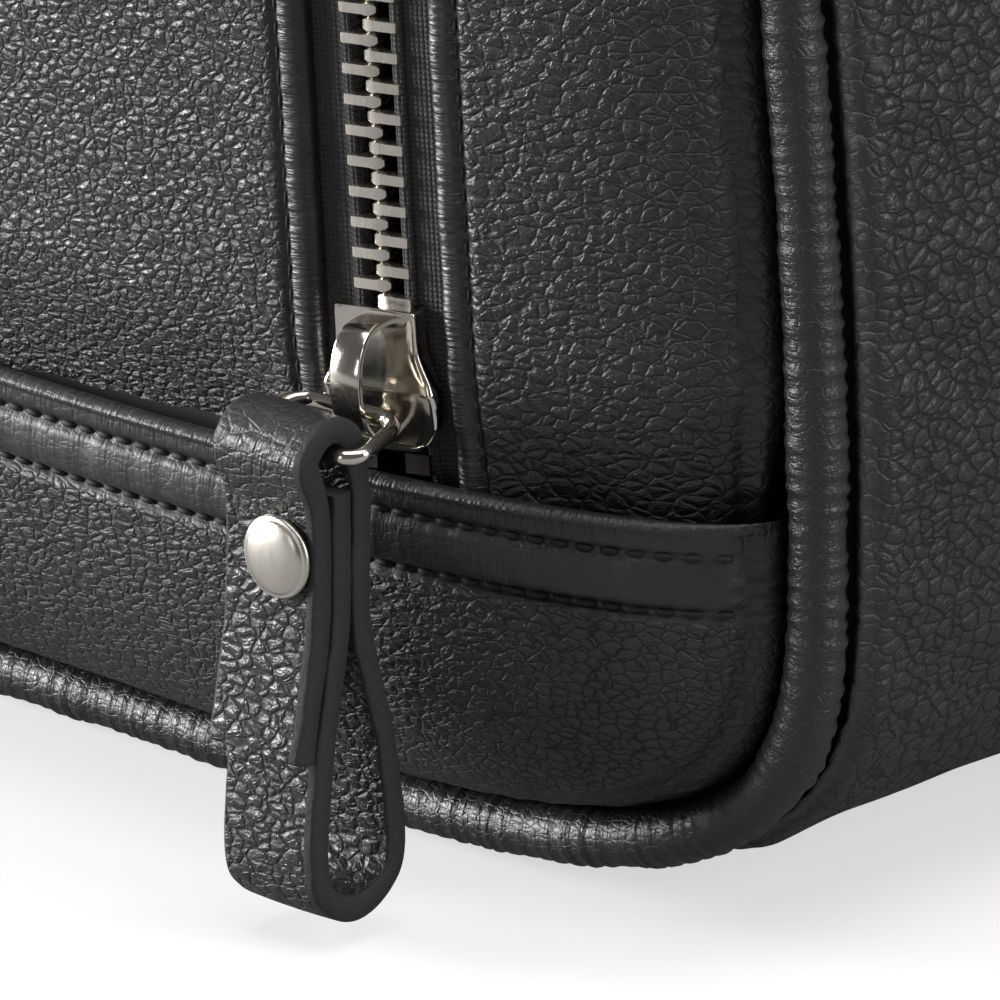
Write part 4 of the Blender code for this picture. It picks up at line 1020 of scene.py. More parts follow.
def build_border():
    """The front's border: folded edge beside the zip, pebbled middle, pleats by the piped seam."""
    t, lift = edge_profile()
    shares = 1 - (1 - np.linspace(0.0, 1.0, 58)[1:]) ** 1.6
    distance, x, z = border_sections(ZIP_LEATHER_GAP, -TUCK, FINE, COARSE, t, shares)
    run, off = seam_place(x, z)
    far = np.concatenate([t, t[-1] + shares * BORDER_FAR])[None] + 0 * x
    top = np.concatenate([lift, 0 * shares])[None] + 0 * x
    along = distance[:, None] + 0 * x
    top = top + edge_waves(along, far, 31)
    sag = soft_waves(x + 40 * MM, z, BORDER_SAG) * fading_in(far, 3 * MM, 6 * MM)
    sag = sag * smooth(off / (4 * MM))
    pulled = seam_pull(run, off, 12) * (far > 4 * MM)
    top[:, 3:] += (sag + tuck_under(z, far) + pulled)[:, 3:]
    back_x, back_z = (grid[:, :len(t):-7] for grid in (x, z))
    below = tuck_under(back_z, 9 * MM) - LEATHER
    grid = skin(FRONT, join(x, back_x), join(z, back_z), join(top, below))[0]
    grain, rib = edge_marks(far)
    grain = grain * fading_in(off, 0.8 * MM, 3.5 * MM, 0.3)
    fill = np.zeros_like(back_x)
    grain, rib, along, far = (join(mark, fill) for mark in (grain, rib, along, far))
    made = surface("border", grid, uv=pairs(along, far), masks={"grain": grain, "rib": rib},
                   finishes=[leather("border leather", 1.35, 0.85, 0.42)])
    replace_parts(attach(made, "bag"), "front_border")


def build_rear():
    """The rear panel: spokes from its middle to the seam, a quarter sine apart, then back inside."""
    sx, sz, _, _ = seam_outline(1.9 * MM)
    out = np.sin(np.linspace(0.0, math.pi / 2, 60))
    share = np.concatenate([out, out[::-4][1:-1], [0.0]])
    x = sx[:, None] * share[None]
    z = REAR_CENTRE_Z + (sz[:, None] - REAR_CENTRE_Z) * share[None]
    run, off = seam_place(x, z)
    lift = soft_waves(x, z, REAR_SAG) * smooth(off / (8 * MM)) * smooth(share / 0.2)[None]
    lift = lift + seam_pull(run, off, 13)
    lift[:, len(out):] = -LEATHER
    grain = fading_in(off, 0.8 * MM, 3.5 * MM, 0.3)
    made = surface("rear_leather", skin(REAR, x, z, lift)[0], wrap_rows=True, wrap_columns=False,
                   weld=True, uv=pairs(run, off), masks={"grain": grain, "rib": 0 * grain},
                   finishes=[leather("rear leather", 1.25, 1.0, 0.48)])
    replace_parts(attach(made, "bag"), "rear_panel")


def build_piping(name, node, facing, step, sides):
    """Pleated piping: circles of radius r carried round the seam, where r = radius + pleats, more on
    the sides that are sewn in."""
    look = bpy.context.scene.bag_look
    sx, sz, at, _ = seam_outline(step)
    nx, nz = seam_normal(sx, sz)
    angle = 2 * math.pi * np.arange(sides) / sides
    side = np.cos(angle)[None]
    front = np.sin(angle)[None]
    skew = at[:, None] + PIPING_SKEW * front * wander(at, 8 * MM, 3)[:, None]
    weight = 0.38 + 0.62 * bell(np.abs(np.sin(angle / 2 + math.pi / 4)), 0.35, 0.45)[None]
    ridge = pleats(skew, 40 + int(facing)) - 0.5
    radius = PIPING_RADIUS - PIPING_SHRINK + look.pleat_depth * 1.15 * ridge * weight
    radius = radius + PIPING_UNEVEN * wander(at, 13 * MM, 8)[:, None]
    x = (sx + nx * PIPING_OFFSET)[:, None] + nx[:, None] * radius * side
    z = (sz + nz * PIPING_OFFSET)[:, None] + nz[:, None] * radius * side
    y = facing * (GUSSET_HALF_DEPTH + radius * front)
    grid = np.stack([x, y, z], axis=-1)
    uv = pairs(at[:, None] + 0 * x, PIPING_RADIUS * angle[None] + 0 * x)
    made = surface(name, grid, wrap_rows=True, uv=uv,
                   masks={"grain": 0.22 + 0 * x, "rib": 0.75 + 0 * x},
                   finishes=[leather("piping leather", 0.8, 0.8, 0.44, 0.5, 0.07)])
    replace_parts(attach(made, "bag"), node)


def gusset_grid(x, z, offset, share, crown, lift):
    """Points across the gusset: each seam point goes out by its offset and the crown, which is
    crown * (1 - share²), and y is the share of the gusset's half depth."""
    nx, nz = seam_normal(x, z)
    full = crown * smooth((z - CROWN_START) / CROWN_HEIGHT)
    out = offset + full[:, None] * (1 - share[None] ** 2) + lift
    px = x[:, None] + nx[:, None] * out
    pz = z[:, None] + nz[:, None] * out
    return np.stack([px, share[None] * GUSSET_EDGE + 0 * px, pz], axis=-1)


def build_gusset(name, node, chosen, step, columns, shift):
    """One length of the gusset. Its edges dip into the piping's creases with pleats, and its leather
    has slack folds where it turns under the bag."""
    sx, sz, at, whole = seam_outline(step)
    at = np.where(at > whole / 2, at - whole, at) if shift else at
    order = np.argsort(at)
    order = order[chosen(sz[order])]
    sx, sz, at = sx[order], sz[order], at[order]
    share = crowded(columns, 0.8)
    off = (1 - np.abs(share)) * GUSSET_EDGE
    run = at[:, None] + 0 * off[None]
    free = fading_in(sz, 2.5 * MM, 9 * MM)[:, None]
    dip = -GUSSET_DIP * np.exp(-off / (0.8 * MM))[None]
    slack = GUSSET_SLACK * wander(run + 0.5 * share[None] * GUSSET_EDGE, 13 * MM, 51)
    slack = slack * smooth(off / (5 * MM))[None]
    turn = bell(sz, 12 * MM, 10 * MM)[:, None]
    creases = GUSSET_CREASE * turn * wander(run, 3.4 * MM, 52) * smooth(off / (3 * MM))[None]
    lift = dip + (slack + creases + seam_pull(run, off[None] + 0 * run, 14)) * free
    index = np.arange(len(sx))
    ends = smooth(np.minimum(index, len(sx) - 1 - index) / 2.0)[:, None]
    lift = lift * ends - GUSSET_END_DROP * (1 - ends)
    outer = gusset_grid(sx, sz, GUSSET_OFFSET, share, GUSSET_CROWN, lift)
    inner = gusset_grid(sx, sz, GUSSET_OFFSET - LEATHER, share[::-4], GUSSET_CROWN,
                        (dip * 0.9)[:, ::-4])
    grid = join(outer, inner)
    grid[..., 2] = np.maximum(grid[..., 2], 0.0)
    fill = np.zeros((len(sx), inner.shape[1]))
    grain = fading_in(off, 1.2 * MM, 3.0 * MM, 0.3)[None] + 0 * run
    uv = pairs(join(run, fill), join(share[None] * GUSSET_EDGE + 0 * run, fill))
    made = surface(name, grid, uv=uv, masks={"grain": join(grain, fill), "rib": 0 * grid[..., 0]},
                   finishes=[leather("gusset leather", 1.6, 1.0, 0.48)])
    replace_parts(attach(made, "bag"), node)


def strip_sheet(name, distance, gaps, lifts, thickness, finish):
    """A strip beside the zip: gaps across it, lifts above the skin, and its thickness below."""
    x, z = beside_zip(distance[:, None], gaps)
    outer = skin(FRONT, x, z, lifts)[0]
    inner = skin(FRONT, x, z, lifts - thickness)[0]
    across = join(gaps, gaps[:, ::-1])
    return surface(name, join(outer, inner[:, ::-1]),
                   uv=pairs(distance[:, None] + 0 * across, across), finishes=[finish])


def spread_at(distance):
    """How far the slider parts each row: a straight ramp below its neck."""
    above = distance - distance_at(SLIDER_HEIGHT)
    return 1.35 * MM * np.clip((2.0 * MM - above) / (5.0 * MM), 0.0, 1.0)


def build_tapes():
    """The zip's two tapes, each with a corded edge: a half round beside the teeth, then flat cloth.
    Their ends sink behind the band."""
    finish = fabric("zip tape", (0.012, 0.012, 0.013, 1.0), 0.42, 0.14, 0.6)
    turn = np.radians(np.linspace(-90, 75, 9))
    flat = np.arange(3.3, 9.9, 0.6) * MM
    gaps = np.concatenate([CORD_PLACE + CORD_REACH * np.sin(turn), flat])
    rise = np.concatenate([CORD_RISE * np.cos(turn), 0.2 * MM + 0 * flat])
    _, distance = zip_stations(-5.5 * MM, 0.6 * MM, 1.8 * MM)
    tucked = np.minimum(distance, 2 * HALF_ZIP - distance)
    sunk = TAPE_END_DROP * (1 - fading_in(tucked, -1.0 * MM, 3.0 * MM))
    lifts = (rise - CHAIN_SINK)[None] - sunk[:, None]
    fade = 1 - fading_in(gaps, 3.0 * MM, 3.0 * MM)[None]
    gaps = gaps[None] + spread_at(distance)[:, None] * fade
    for name, side, nodes in (
        ("tape_outer", 1, ("zip_tape_bag",)),
        ("tape_inner", -1, ("zip_tape_door", "zip_tape_root_right", "zip_tape_root_left")),
    ):
        made = strip_sheet(name, distance, side * gaps, lifts, TAPE, finish)
        if side > 0:
            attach(made, "bag")
        else:
            fold(made)
        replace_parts(made, *nodes)


def loft_faces(sections, sides):
    """Faces of a closed loft of sections with this many sides."""
    faces = grid_faces(sections, sides, False, True)[0].tolist()
    last = (sections - 1) * sides
    return faces + [list(range(sides))[::-1], list(range(last, last + sides))]


def build_teeth():
    """The rows of teeth. A tooth is a loft along its length: eight-sided sections whose half
    thickness swells at the head and tapers to the tip."""
    finish = metal("zip teeth", 0.27, 0.02, 0.9)
    reach = np.array([-0.66, -0.50, -0.10, 0.25, 0.55, 2.35, 2.56, 2.66]) * MM
    thick = np.array([0.30, 0.50, 0.68, 0.64, 0.56, 0.56, 0.52, 0.36]) * MM
    high = np.array([0.66, 0.82, 0.95, 1.00, 1.00, 1.00, 0.95, 0.80]) * MM
    corner = np.array([(1, 0.55), (0.72, 1), (-0.72, 1), (-1, 0.55),
                       (-1, -0.55), (-0.72, -1), (0.72, -1), (1, -0.55)])
    template = np.stack([
        np.repeat(reach, 8),
        (high[:, None] * corner[None, :, 1]).ravel(),
        (thick[:, None] * corner[None, :, 0]).ravel(),
    ], axis=-1)
    faces = loft_faces(len(reach), 8)
    foot = distance_at(SLIDER_HEIGHT) - SLIDER_HALF_LENGTH + 1.0 * MM
    for name, side, nodes in (
        ("teeth_outer", 1, ("zip_row_bag",)),
        ("teeth_inner", -1, ("zip_row_door", "zip_row_root_right", "zip_row_root_left")),
    ):
        phase = 0.0 if side > 0 else PITCH / 2
        first = math.ceil((foot - phase) / PITCH)
        last = math.floor((2 * HALF_ZIP - foot - phase) / PITCH)
        distance = np.arange(first, last + 1) * PITCH + phase
        centre, aside, normal, along = chain_frame(distance)
        centre = centre + aside * (side * spread_at(distance))[:, None]
        made = copies(name, template, faces, centre, (aside * side, normal, along), finish, 40)
        if side > 0:
            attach(made, "bag")
        else:
            fold(made)
        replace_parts(made, *nodes)


def stitch_row(name, centre, along, out, length, radius, body):
    """A row of stitches: each is a six-sided thread that dips into the leather at both ends."""
    finish = plain("thread", (0.006, 0.006, 0.007, 1.0), 0.7, 3000.0)
    part = np.array([-0.5, -0.42, -0.15, 0.15, 0.42, 0.5]) * length
    thick = np.array([0.25, 0.8, 1.0, 1.0, 0.8, 0.25]) * radius
    dip = np.array([-1.6, -0.5, 0.0, 0.0, -0.5, -1.6]) * radius
    angle = 2 * math.pi * np.arange(6) / 6
    template = np.stack([
        np.repeat(part, 6),
        (thick[:, None] * np.cos(angle)[None]).ravel(),
        (thick[:, None] * np.sin(angle)[None] + dip[:, None]).ravel(),
    ], axis=-1)
    aside = np.cross(out, along)
    made = copies(name, template, loft_faces(6, 6), centre, (along, aside, out), finish)
    if body == "fold":
        fold(made)
    else:
        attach(made, body)
    return made


def unit(vectors):
    """Vectors made one long."""
    return vectors / np.linalg.norm(vectors, axis=-1, keepdims=True)


def band_stitches():
    """Two rows along the band, just above the bottom of their grooves."""
    look = bpy.context.scene.bag_look
    for name, height, lift in (("band_stitches_upper", UPPER_STITCH, 0.10 * MM),
                               ("band_stitches_lower", BAND_BOTTOM, -0.36 * MM)):
        half = float(seam_half(np.array(height))) - 1.6 * MM
        x = np.arange(-half, half, look.stitch)
        z = height + 0 * x
        kept = 1 - nearness(x, z) ** 12
        centre, out = skin(FRONT, x, z, lift * kept)
        along = unit(np.gradient(centre, axis=0))
        stitch_row(name, centre, along, out, look.stitch * 0.88, 0.32 * MM, "bag")


def zip_stitches():
    """A row in the groove of each folded edge, all round the U."""
    look = bpy.context.scene.bag_look
    distance = np.arange(2.5 * MM, 2 * HALF_ZIP - 2.5 * MM, look.stitch)
    for name, side, body in (("border_stitches", 1, "bag"), ("door_stitches", -1, "fold")):
        x, z = beside_zip(distance, side * (ZIP_LEATHER_GAP + look.bead))
        centre, out = skin(FRONT, x, z, -0.36 * MM + tuck_under(z, look.bead))
        along = unit(np.gradient(centre, axis=0))
        out = unit(out - along * np.sum(out * along, axis=-1, keepdims=True))
        stitch_row(name, centre, along, out, look.stitch * 0.8, 0.19 * MM, body)


def gusset_stitches():
    """A row across each side of the gusset, below its join."""
    look = bpy.context.scene.bag_look
    y = np.arange(-35.5 * MM, 35.6 * MM, look.stitch)
    z = np.full(1, GUSSET_JOIN - 2.4 * MM)
    for name, side in (("gusset_stitches_right", 1.0), ("gusset_stitches_left", -1.0)):
        x = side * half_width(z)
        points = gusset_grid(x, z, GUSSET_OFFSET, y / GUSSET_EDGE, GUSSET_CROWN, 0.12 * MM)[0]
        along = unit(np.gradient(points, axis=0))
        nx, nz = seam_normal(x, z)
        out = np.stack([nx + 0 * y, 0 * y, nz + 0 * y], axis=-1)
        stitch_row(name, points, along, out, look.stitch * 0.86, 0.24 * MM, "bag")


def thin_sheet(name, facing, x, z, lift, weld=False):
    """A sheet of lining this far off a panel's face, and as thick as the lining below that."""
    outer = skin(facing, x, z, lift + 0 * x)[0]
    inner = skin(facing, x, z, lift - LINING + 0 * x)[0]
    return surface(name, join(outer, inner[:, ::-1]), uv=pairs(join(x, x[:, ::-1]), join(z, z[:, ::-1])),
                   weld=weld, finishes=[lining_fabric()])


def build_door_cloth():
    """The door's lining: shares of the way from beside the zip to the middle, both ways."""
    half, _ = zip_stations(CLOTH_START, 3 * MM, 4 * MM)
    spread = np.linspace(0.0, 1.0, 22)
    pole = np.interp(half, [CLOTH_START, RUN], [BAND_TOP + CLOTH_START, CORNER_CENTRE_Z])
    x, z = beside_zip(half, -ZIP_LINING_GAP)
    z = z[:, None] + (pole - z)[:, None] * spread
    x = x[:, None] * (1 - spread)
    made = thin_sheet("door_cloth", FRONT, join(x, -x[:, -2::-1]), join(z, z[:, -2::-1]),
                      -CLOTH_DEPTH, True)
    fold(made)
    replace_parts(made, "door_lining", "door_root_lining")


def build_linings():
    """Thin sheets behind the front's border, the lower panel and the rear panel."""
    shares = np.sin(np.linspace(0, math.pi / 2, 14))[1:]
    _, x, z = border_sections(ZIP_LINING_GAP, CLOTH_START, 3 * MM, 4 * MM, np.zeros(1), shares)
    lining_sheet("border_cloth", "front_border_lining", FRONT, x, z, -CLOTH_DEPTH)

    share = np.sin(np.linspace(-math.pi / 2, math.pi / 2, 90))[:, None]
    z = np.linspace(SEAM_BOTTOM, BAND_TOP - CLOTH_START, 22)[None]
    x = share * seam_half(z)
    lining_sheet("lower_cloth", "front_lower_lining", FRONT, x, z + 0 * x, -4.1 * MM)

    rise = (0.5 - 0.5 * np.cos(np.linspace(0, math.pi, 50)))[None]
    z = SEAM_BOTTOM + (SEAM_TOP - SEAM_BOTTOM) * rise
    x = share * seam_half(z)
    lining_sheet("rear_cloth", "rear_lining", REAR, x, z + 0 * x, -2.2 * MM)


def build_gusset_cloth():
    """The gusset's lining, one ring inside both lengths."""
    sx, sz, at, _ = seam_outline(3 * MM)
    share = np.linspace(-1, 1, 20)
    outer = gusset_grid(sx, sz, GUSSET_LINING_OFFSET, share, 0.0, 0.0)
    inner = gusset_grid(sx, sz, GUSSET_LINING_OFFSET - LINING, share[::-1], 0.0, 0.0)
    grid = join(outer, inner)
    across = np.concatenate([share, share[::-1]])[None] * GUSSET_EDGE + 0 * grid[..., 0]
    made = surface("gusset_cloth", grid, wrap_rows=True, uv=pairs(at[:, None] + 0 * across, across),
                   finishes=[lining_fabric()])
    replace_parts(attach(made, "bag"), "gusset_lining")


def lining_sheet(name, node, facing, x, z, lift):
    """One thin sheet behind a panel, which it moves with."""
    made = thin_sheet(name, facing, x, z, lift)
    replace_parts(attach(made, "bag"), node)


def slider_matrix():
    """The slider's place: X across it, Y inwards and Z up along the straight chain."""
    here = np.array([distance_at(SLIDER_HEIGHT), RUN])
    centres, _, normals, _ = chain_frame(here)
    up = Vector(centres[1] - centres[0]).normalized()
    right = up.cross(Vector(normals[0])).normalized()
    matrix = Matrix((right, up.cross(right), up)).transposed().to_4x4()
    matrix.translation = Vector(centres[0])
    return matrix


def ring_matrix():
    """The ring's place: its origin is its back bar, in the slider's bridge."""
    bar = Matrix.Translation((0.0, -RING_BACK[0], RING_BACK[1]))
    upright = Matrix.Rotation(ZIP_LEAN, 4, "Y")
    return slider_matrix() @ bar @ upright @ Matrix.Rotation(math.radians(RING_TWIST), 4, "Z")


def tab_matrix():
    """The pull tab's place: its origin is the ring's front bar."""
    front = Matrix.Translation((RING_SHIFT, RING_BACK[0] - RING_FRONT[0],
                                RING_FRONT[1] - RING_BACK[1]))
    return ring_matrix() @ front @ Matrix.Rotation(math.radians(TAB_TWIST), 4, "Z")


def placed(points, matrix):
    """Points carried into the bag's frame by a 4 by 4 matrix."""
    whole = np.array(matrix, float)
    return points @ whole[:3, :3].T + whole[:3, 3]


def rounded(points, times):
    """A closed outline with its corners cut a quarter from each end, several times over."""
    for _ in range(times):
        after = np.roll(points, -1, axis=0)
        points = np.stack([0.75 * points + 0.25 * after, 0.25 * points + 0.75 * after], axis=1)
        points = points.reshape(-1, 2)
    return points


def plate_rings(outline, heights, insets, dish):
    """Rings of a plate: the outline drawn in by each inset towards the middle line and set at each
    height; the last rings close on the middle line, and dish() bends the top."""
    rings = []
    for height, inset in zip(heights, insets):
        x = outline[:, 0] * (1 - inset)
        z = outline[:, 1] * (1 - 0.12 * min(inset, 0.35))
        rings.append(np.stack([x, -height * np.ones_like(x) + dish(x, z, height), z], axis=-1))
    return np.stack(rings)


def front_dish(x, z, height):
    """How far the front plate's face goes in: it slopes in below its shoulders, has a ridge across
    them and rises slightly above them."""
    if height < DISH_LEAST_HEIGHT:
        return 0.0 * x
    above = z - SHOULDER_Z
    slopes = DISH_SLOPE_SHARE * np.maximum(0.0, -above) - DISH_RISE_SHARE * np.maximum(0.0, above)
    return slopes - SHOULDER_RIDGE * bell(z, SHOULDER_Z, SHOULDER_WIDTH)


def no_dish(x, z, height):
    """The back plate's face is flat."""
    return 0.0 * x


def build_slider():
    """The slider's two plates, with rims round them and a ridge across the front one, and its
    post."""
    finish = metal("slider nickel", 0.13, 0.004)
    outline = rounded(np.concatenate([SLIDER_HALF, SLIDER_HALF[::-1] * [-1, 1]]), 2)
    matrix = slider_matrix()
    pieces = []
    for name, side, dish in (("slider_front", 1, front_dish), ("slider_back", -1, no_dish)):
        rings = plate_rings(outline, side * PLATE_RISES, PLATE_INSET_SHARES, dish)
        rings = np.concatenate([rings[:1] * [0.0, 1.0, 1.0], rings])
        pieces.append(surface(name, placed(rings, matrix), weld=True, caps=False,
                              finishes=[finish], sharp=38))
    corner = np.array([(-1, -1), (1, -1), (1, 1), (-1, 1)]) * [1.0, POST_HALF_DEPTH]
    post = np.stack([corner[None, :, 0] * POST_WIDTHS[:, None],
                     corner[None, :, 1] + 0 * POST_WIDTHS[:, None],
                     POST_HEIGHTS[:, None] + 0 * corner[None, :, 0]], axis=-1)
    pieces.append(surface("slider_post", placed(post, matrix), finishes=[finish], sharp=30))
    for piece in pieces:
        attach(piece, "slider")
    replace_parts(pieces[0], "slider_body")


def build_ring():
    """The wire ring: a circle carried round a rounded outline that is narrower at the back."""
    away = np.array([0.0, RING_BACK[0] - RING_FRONT[0], RING_FRONT[1] - RING_BACK[1]])
    reach = np.linalg.norm(away)
    forward = away / reach
    half = RING_LENGTH / 2 - RING_WIRE
    turn = np.radians(np.linspace(0.0, 90.0, 12))
    parts = []
    for side, end, start in ((1, 0, -90), (1, 1, 0), (-1, 1, 90), (-1, 0, 180)):
        x = RING_SHIFT + side * (half - RING_CORNER)
        y = RING_CORNER if end == 0 else reach - RING_CORNER
        angle = turn + math.radians(start)
        parts.append(np.stack([x + RING_CORNER * np.cos(angle), y + RING_CORNER * np.sin(angle)], -1))
    flat = np.concatenate(parts)
    behind = 1 - flat[:, 1:] / reach
    side = np.sign(flat[:, :1] - RING_SHIFT)
    centre = (flat[:, :1] - side * RING_BACK_DRAW_IN * behind) * np.array([1.0, 0, 0])
    centre = centre + flat[:, 1:] * forward - behind * np.array([0, 0, RING_BACK_DROP])
    tangent = unit(np.roll(centre, -1, axis=0) - np.roll(centre, 1, axis=0))
    up = np.cross([1.0, 0, 0], forward)
    out = np.cross(tangent, up)
    angle = 2 * math.pi * np.arange(20) / 20
    grid = centre[:, None] + RING_WIRE * (out[:, None] * np.cos(angle)[None, :, None]
                                          + up[None, None] * np.sin(angle)[None, :, None])
    made = surface("ring", placed(grid, ring_matrix()), wrap_rows=True,
                   finishes=[metal("ring nickel", 0.10, 0.002)])
    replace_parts(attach(made, "ring"), "pull_ring")


def curve_through(knots, steps):
    """A smooth line through every knot: the cubic of four neighbours, for all spans at once."""
    padded = np.concatenate([knots[:1], knots, knots[-1:]])
    before, start, stop, after = padded[:-3], padded[1:-2], padded[2:-1], padded[3:]
    t = (np.arange(steps) / steps)[None, :, None]
    a, b, c, d = (part[:, None] for part in (before, start, stop, after))
    points = 0.5 * (2 * b + (c - a) * t + (2 * a - 5 * b + 4 * c - d) * t**2
                    + (3 * b - a - 3 * c + d) * t**3)
    return np.concatenate([points.reshape(-1, 2), knots[-1:]])


def half_turn(centre, radius, start, stop, steps):
    """Points round part of a circle, in degrees from out of the face towards down."""
    angle = np.radians(np.linspace(start, stop, steps))
    return np.stack([centre[0] + radius * np.cos(angle), centre[1] + radius * np.sin(angle)], -1)


def tab_line():
    """The folded strip's middle line, out of the face and down from the fold's centre."""
    middle = -TAB_SET_BACK
    back, front = middle - TAB_LAYER_PITCH, middle + TAB_LAYER_PITCH
    radius = (TAB_LOOP_FRONT + TAB_LOOP_BACK) / 2
    centre = (TAB_LOOP_FRONT - TAB_LOOP_BACK) / 2
    low = TAB_LOOP_LENGTH - TAB_LEATHER / 2 - radius
    place = TAB_PINCH_END + (low - TAB_PINCH_END) * np.array(LOOP_DROP_SHARES)
    wall = middle + (TAB_LOOP_FRONT - middle) * np.array(LOOP_FRONT_SHARES)
    rear = back - (TAB_LOOP_BACK + back) * np.array(LOOP_BACK_SHARES)
    down = np.array([TAB_INNER_END, TAB_PINCH_START, TAB_PINCH_END])
    first = np.stack([np.full(3, middle), down], -1)
    loop = half_turn((centre, low), radius, 0, 180, 5)
    rise = np.stack([rear, place], -1)[::-1]
    pinch = np.array([(back, TAB_PINCH_END), (back, TAB_PINCH_START)])
    over = half_turn((0.0, 0.0), TAB_FOLD_RADIUS, 180, 360, 7)
    flap = [(front, TAB_PINCH_START), (front, TAB_PINCH_END)]
    flap += [(wall[0] + TAB_LAYER_PITCH, place[0]), (wall[1] + TAB_LAYER_PITCH, TAB_FLAP_END)]
    knots = np.concatenate([first, np.stack([wall, place], -1), loop, rise, pinch, over, flap])
    return curve_through(knots, 12)


def build_bridge():
    """The slider's bridge: a bevelled strip over an arch, whose height follows |sin|^power."""
    angle = np.linspace(-0.06, math.pi + 0.06, 64)
    w, t, r = BRIDGE_WIDTH / 2, BRIDGE_THICKNESS / 2, BRIDGE_BEVEL
    along = BRIDGE_RISE + (BRIDGE_HALF_LENGTH - t) * np.cos(angle)
    arch = np.sign(np.sin(angle)) * np.abs(np.sin(angle)) ** BRIDGE_POWER
    path = pairs(along, PLATE_TOP + (BRIDGE_HEIGHT - t) * arch)
    tangent = unit(np.gradient(path, axis=0))
    out = pairs(tangent[:, 1], -tangent[:, 0])
    c = 0.3 * r
    box = np.array([(-w + r, t), (w - r, t), (w - c, t - c), (w, t - r),
                    (w, -t + r), (w - c, -t + c), (w - r, -t), (-w + r, -t),
                    (-w + c, -t + c), (-w, -t + r), (-w, t - r), (-w + c, t - c)])
    place = path[:, None] + out[:, None] * box[None, :, 1:2]
    grid = np.stack([BRIDGE_SHIFT + box[None, :, 0] + 0 * place[..., 0], -place[..., 1],
                     place[..., 0]], axis=-1)
    bridge = surface("bridge", placed(grid, slider_matrix()),
                     finishes=[metal("slider nickel", 0.13, 0.004)], sharp=35)
    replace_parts(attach(bridge, "slider"), "slider_bridge")


def build_tab():
    """The pull tab: a rounded rectangle carried along the folded strip's middle line, its broad
    faces pebbled and its two long edges cut."""
    line = tab_line()
    run = np.concatenate([[0.0], np.cumsum(np.linalg.norm(np.diff(line, axis=0), axis=1))])
    tangent = unit(np.gradient(line, axis=0))
    aside = pairs(-tangent[:, 1], tangent[:, 0])
    w, h, r = TAB_HALF_WIDTH, TAB_LEATHER / 2, TAB_EDGE_RADIUS
    face = np.linspace(-w + r, w - r, 17)
    nose = np.radians(np.array([60.0, 30.0, 0.0, -30.0, -60.0]))
    edge_x, edge_h = w - r + r * np.cos(nose), np.sign(nose) * (h - r) + r * np.sin(nose)
    across = np.concatenate([face, edge_x, face[::-1], -edge_x])
    high = np.concatenate([0 * face + h, edge_h, 0 * face - h, -edge_h])
    crown = TAB_CROWN * (1 - (across / w) ** 2) * np.sign(high)
    wave = TAB_WAVE * wander(run, 6.0 * MM, 61)[:, None] * np.sign(high)[None]
    push = high[None] + crown[None] + wave * (np.abs(high) > 0.9 * h)[None]
    press = TAB_PRESS * bell(run[:, None], run[-1] - TAB_PRESS_RUN, TAB_PRESS_WIDTH)
    push = push - press * (np.abs(across) < TAB_PRESS_HALF)[None] * np.sign(high)[None]
    place = line[:, None] + aside[:, None] * push[..., None]
    flat = 0 * push
    x = TAB_SHIFT + across[None] + flat
    grid = np.stack([x, -place[..., 0], -place[..., 1] - TAB_HANG], axis=-1)
    finish_of = (np.abs(across) > w - 1.01 * r).astype(int)[None] + flat.astype(int)
    at_fold = bell(run, run[-1] - TAB_FOLD_RUN, TAB_FOLD_WIDTH)[:, None] + flat
    uv = pairs(across[None] + 0.35 * run[:, None], run[:, None] + flat)
    made = surface("tab", placed(grid, tab_matrix()), uv=uv,
                   masks={"grain": 1.0 - 0.75 * at_fold, "rib": at_fold}, finish_of=finish_of,
                   finishes=[leather("tab leather", 1.3, 0.95, 0.45, 0.4, 0.08),
                             cut_edge("cut leather edge")])
    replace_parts(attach(made, "tab"), "pull_tab")


def turned(name, profile, finish, sides=64):
    """A profile of radius and depth turned about the rivet's axis, in the tab's frame."""
    angle = 2 * math.pi * np.arange(sides) / sides
    radius, depth = profile[:, 0], profile[:, 1]
    grid = np.stack([
        TAB_SHIFT + RIVET_SHIFT + radius[None] * np.cos(angle)[:, None],
        TAB_SET_BACK + depth[None] + 0 * angle[:, None],
        -RIVET_DROP - TAB_HANG + radius[None] * np.sin(angle)[:, None]], axis=-1)
    return surface(name, placed(grid, tab_matrix()), wrap_rows=True, wrap_columns=False, weld=True,
                   finishes=[finish])


def build_rivet():
    """The domed rivet cap with its rolled rim and its shank, and the plate at the back."""
    finish = metal("rivet nickel", 0.30, 0.006, 0.95)
    face = TAB_LAYER_PITCH + TAB_LEATHER / 2 - RIVET_BITE
    turn = np.linspace(0.0, 1.0, 14) * DOME_TURN
    dome = pairs(DOME_RADIUS * np.sin(turn), -face - DOME_BASE - DOME_RISE * np.cos(turn))
    turn = np.radians(np.linspace(75, -90, 9))
    roll = pairs(DOME_RADIUS + RIM_RADIUS * np.cos(turn), -face - RIM_BASE - RIM_RADIUS * np.sin(turn))
    shank = np.array([(SHANK_RADIUS, -face), (SHANK_RADIUS, face), (0.0, face)])
    cap = turned("rivet_dome", np.concatenate([dome, roll, shank]), finish)
    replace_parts(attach(cap, "tab"), "rivet_cap")
    plate = turned("rivet_plate", BACK_PLATE + [0.0, face + RIVET_BITE], finish)
    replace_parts(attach(plate, "tab"), "rivet_back")


def paint_hard_nodes():
    """Give the frame's own board and end stops their finishes; the stops' nickel is darkened as painted
    shade.
    """
    board = plain("board", (0.11, 0.095, 0.075, 1.0), 0.85, 700.0)
    # Painted shade: the stops' nickel is 12% of the metal colour, standing for the shadow under the
    # band's edge.
    stops = metal("stop nickel", 0.4, 0.01, 0.12)
    for node, finish in (("base_board", board), ("zip_stop_bag", stops), ("zip_stop_root", stops),
                         ("zip_end_stop", stops)):
        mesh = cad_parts[node].data
        mesh.materials.clear()
        mesh.materials.append(finish)


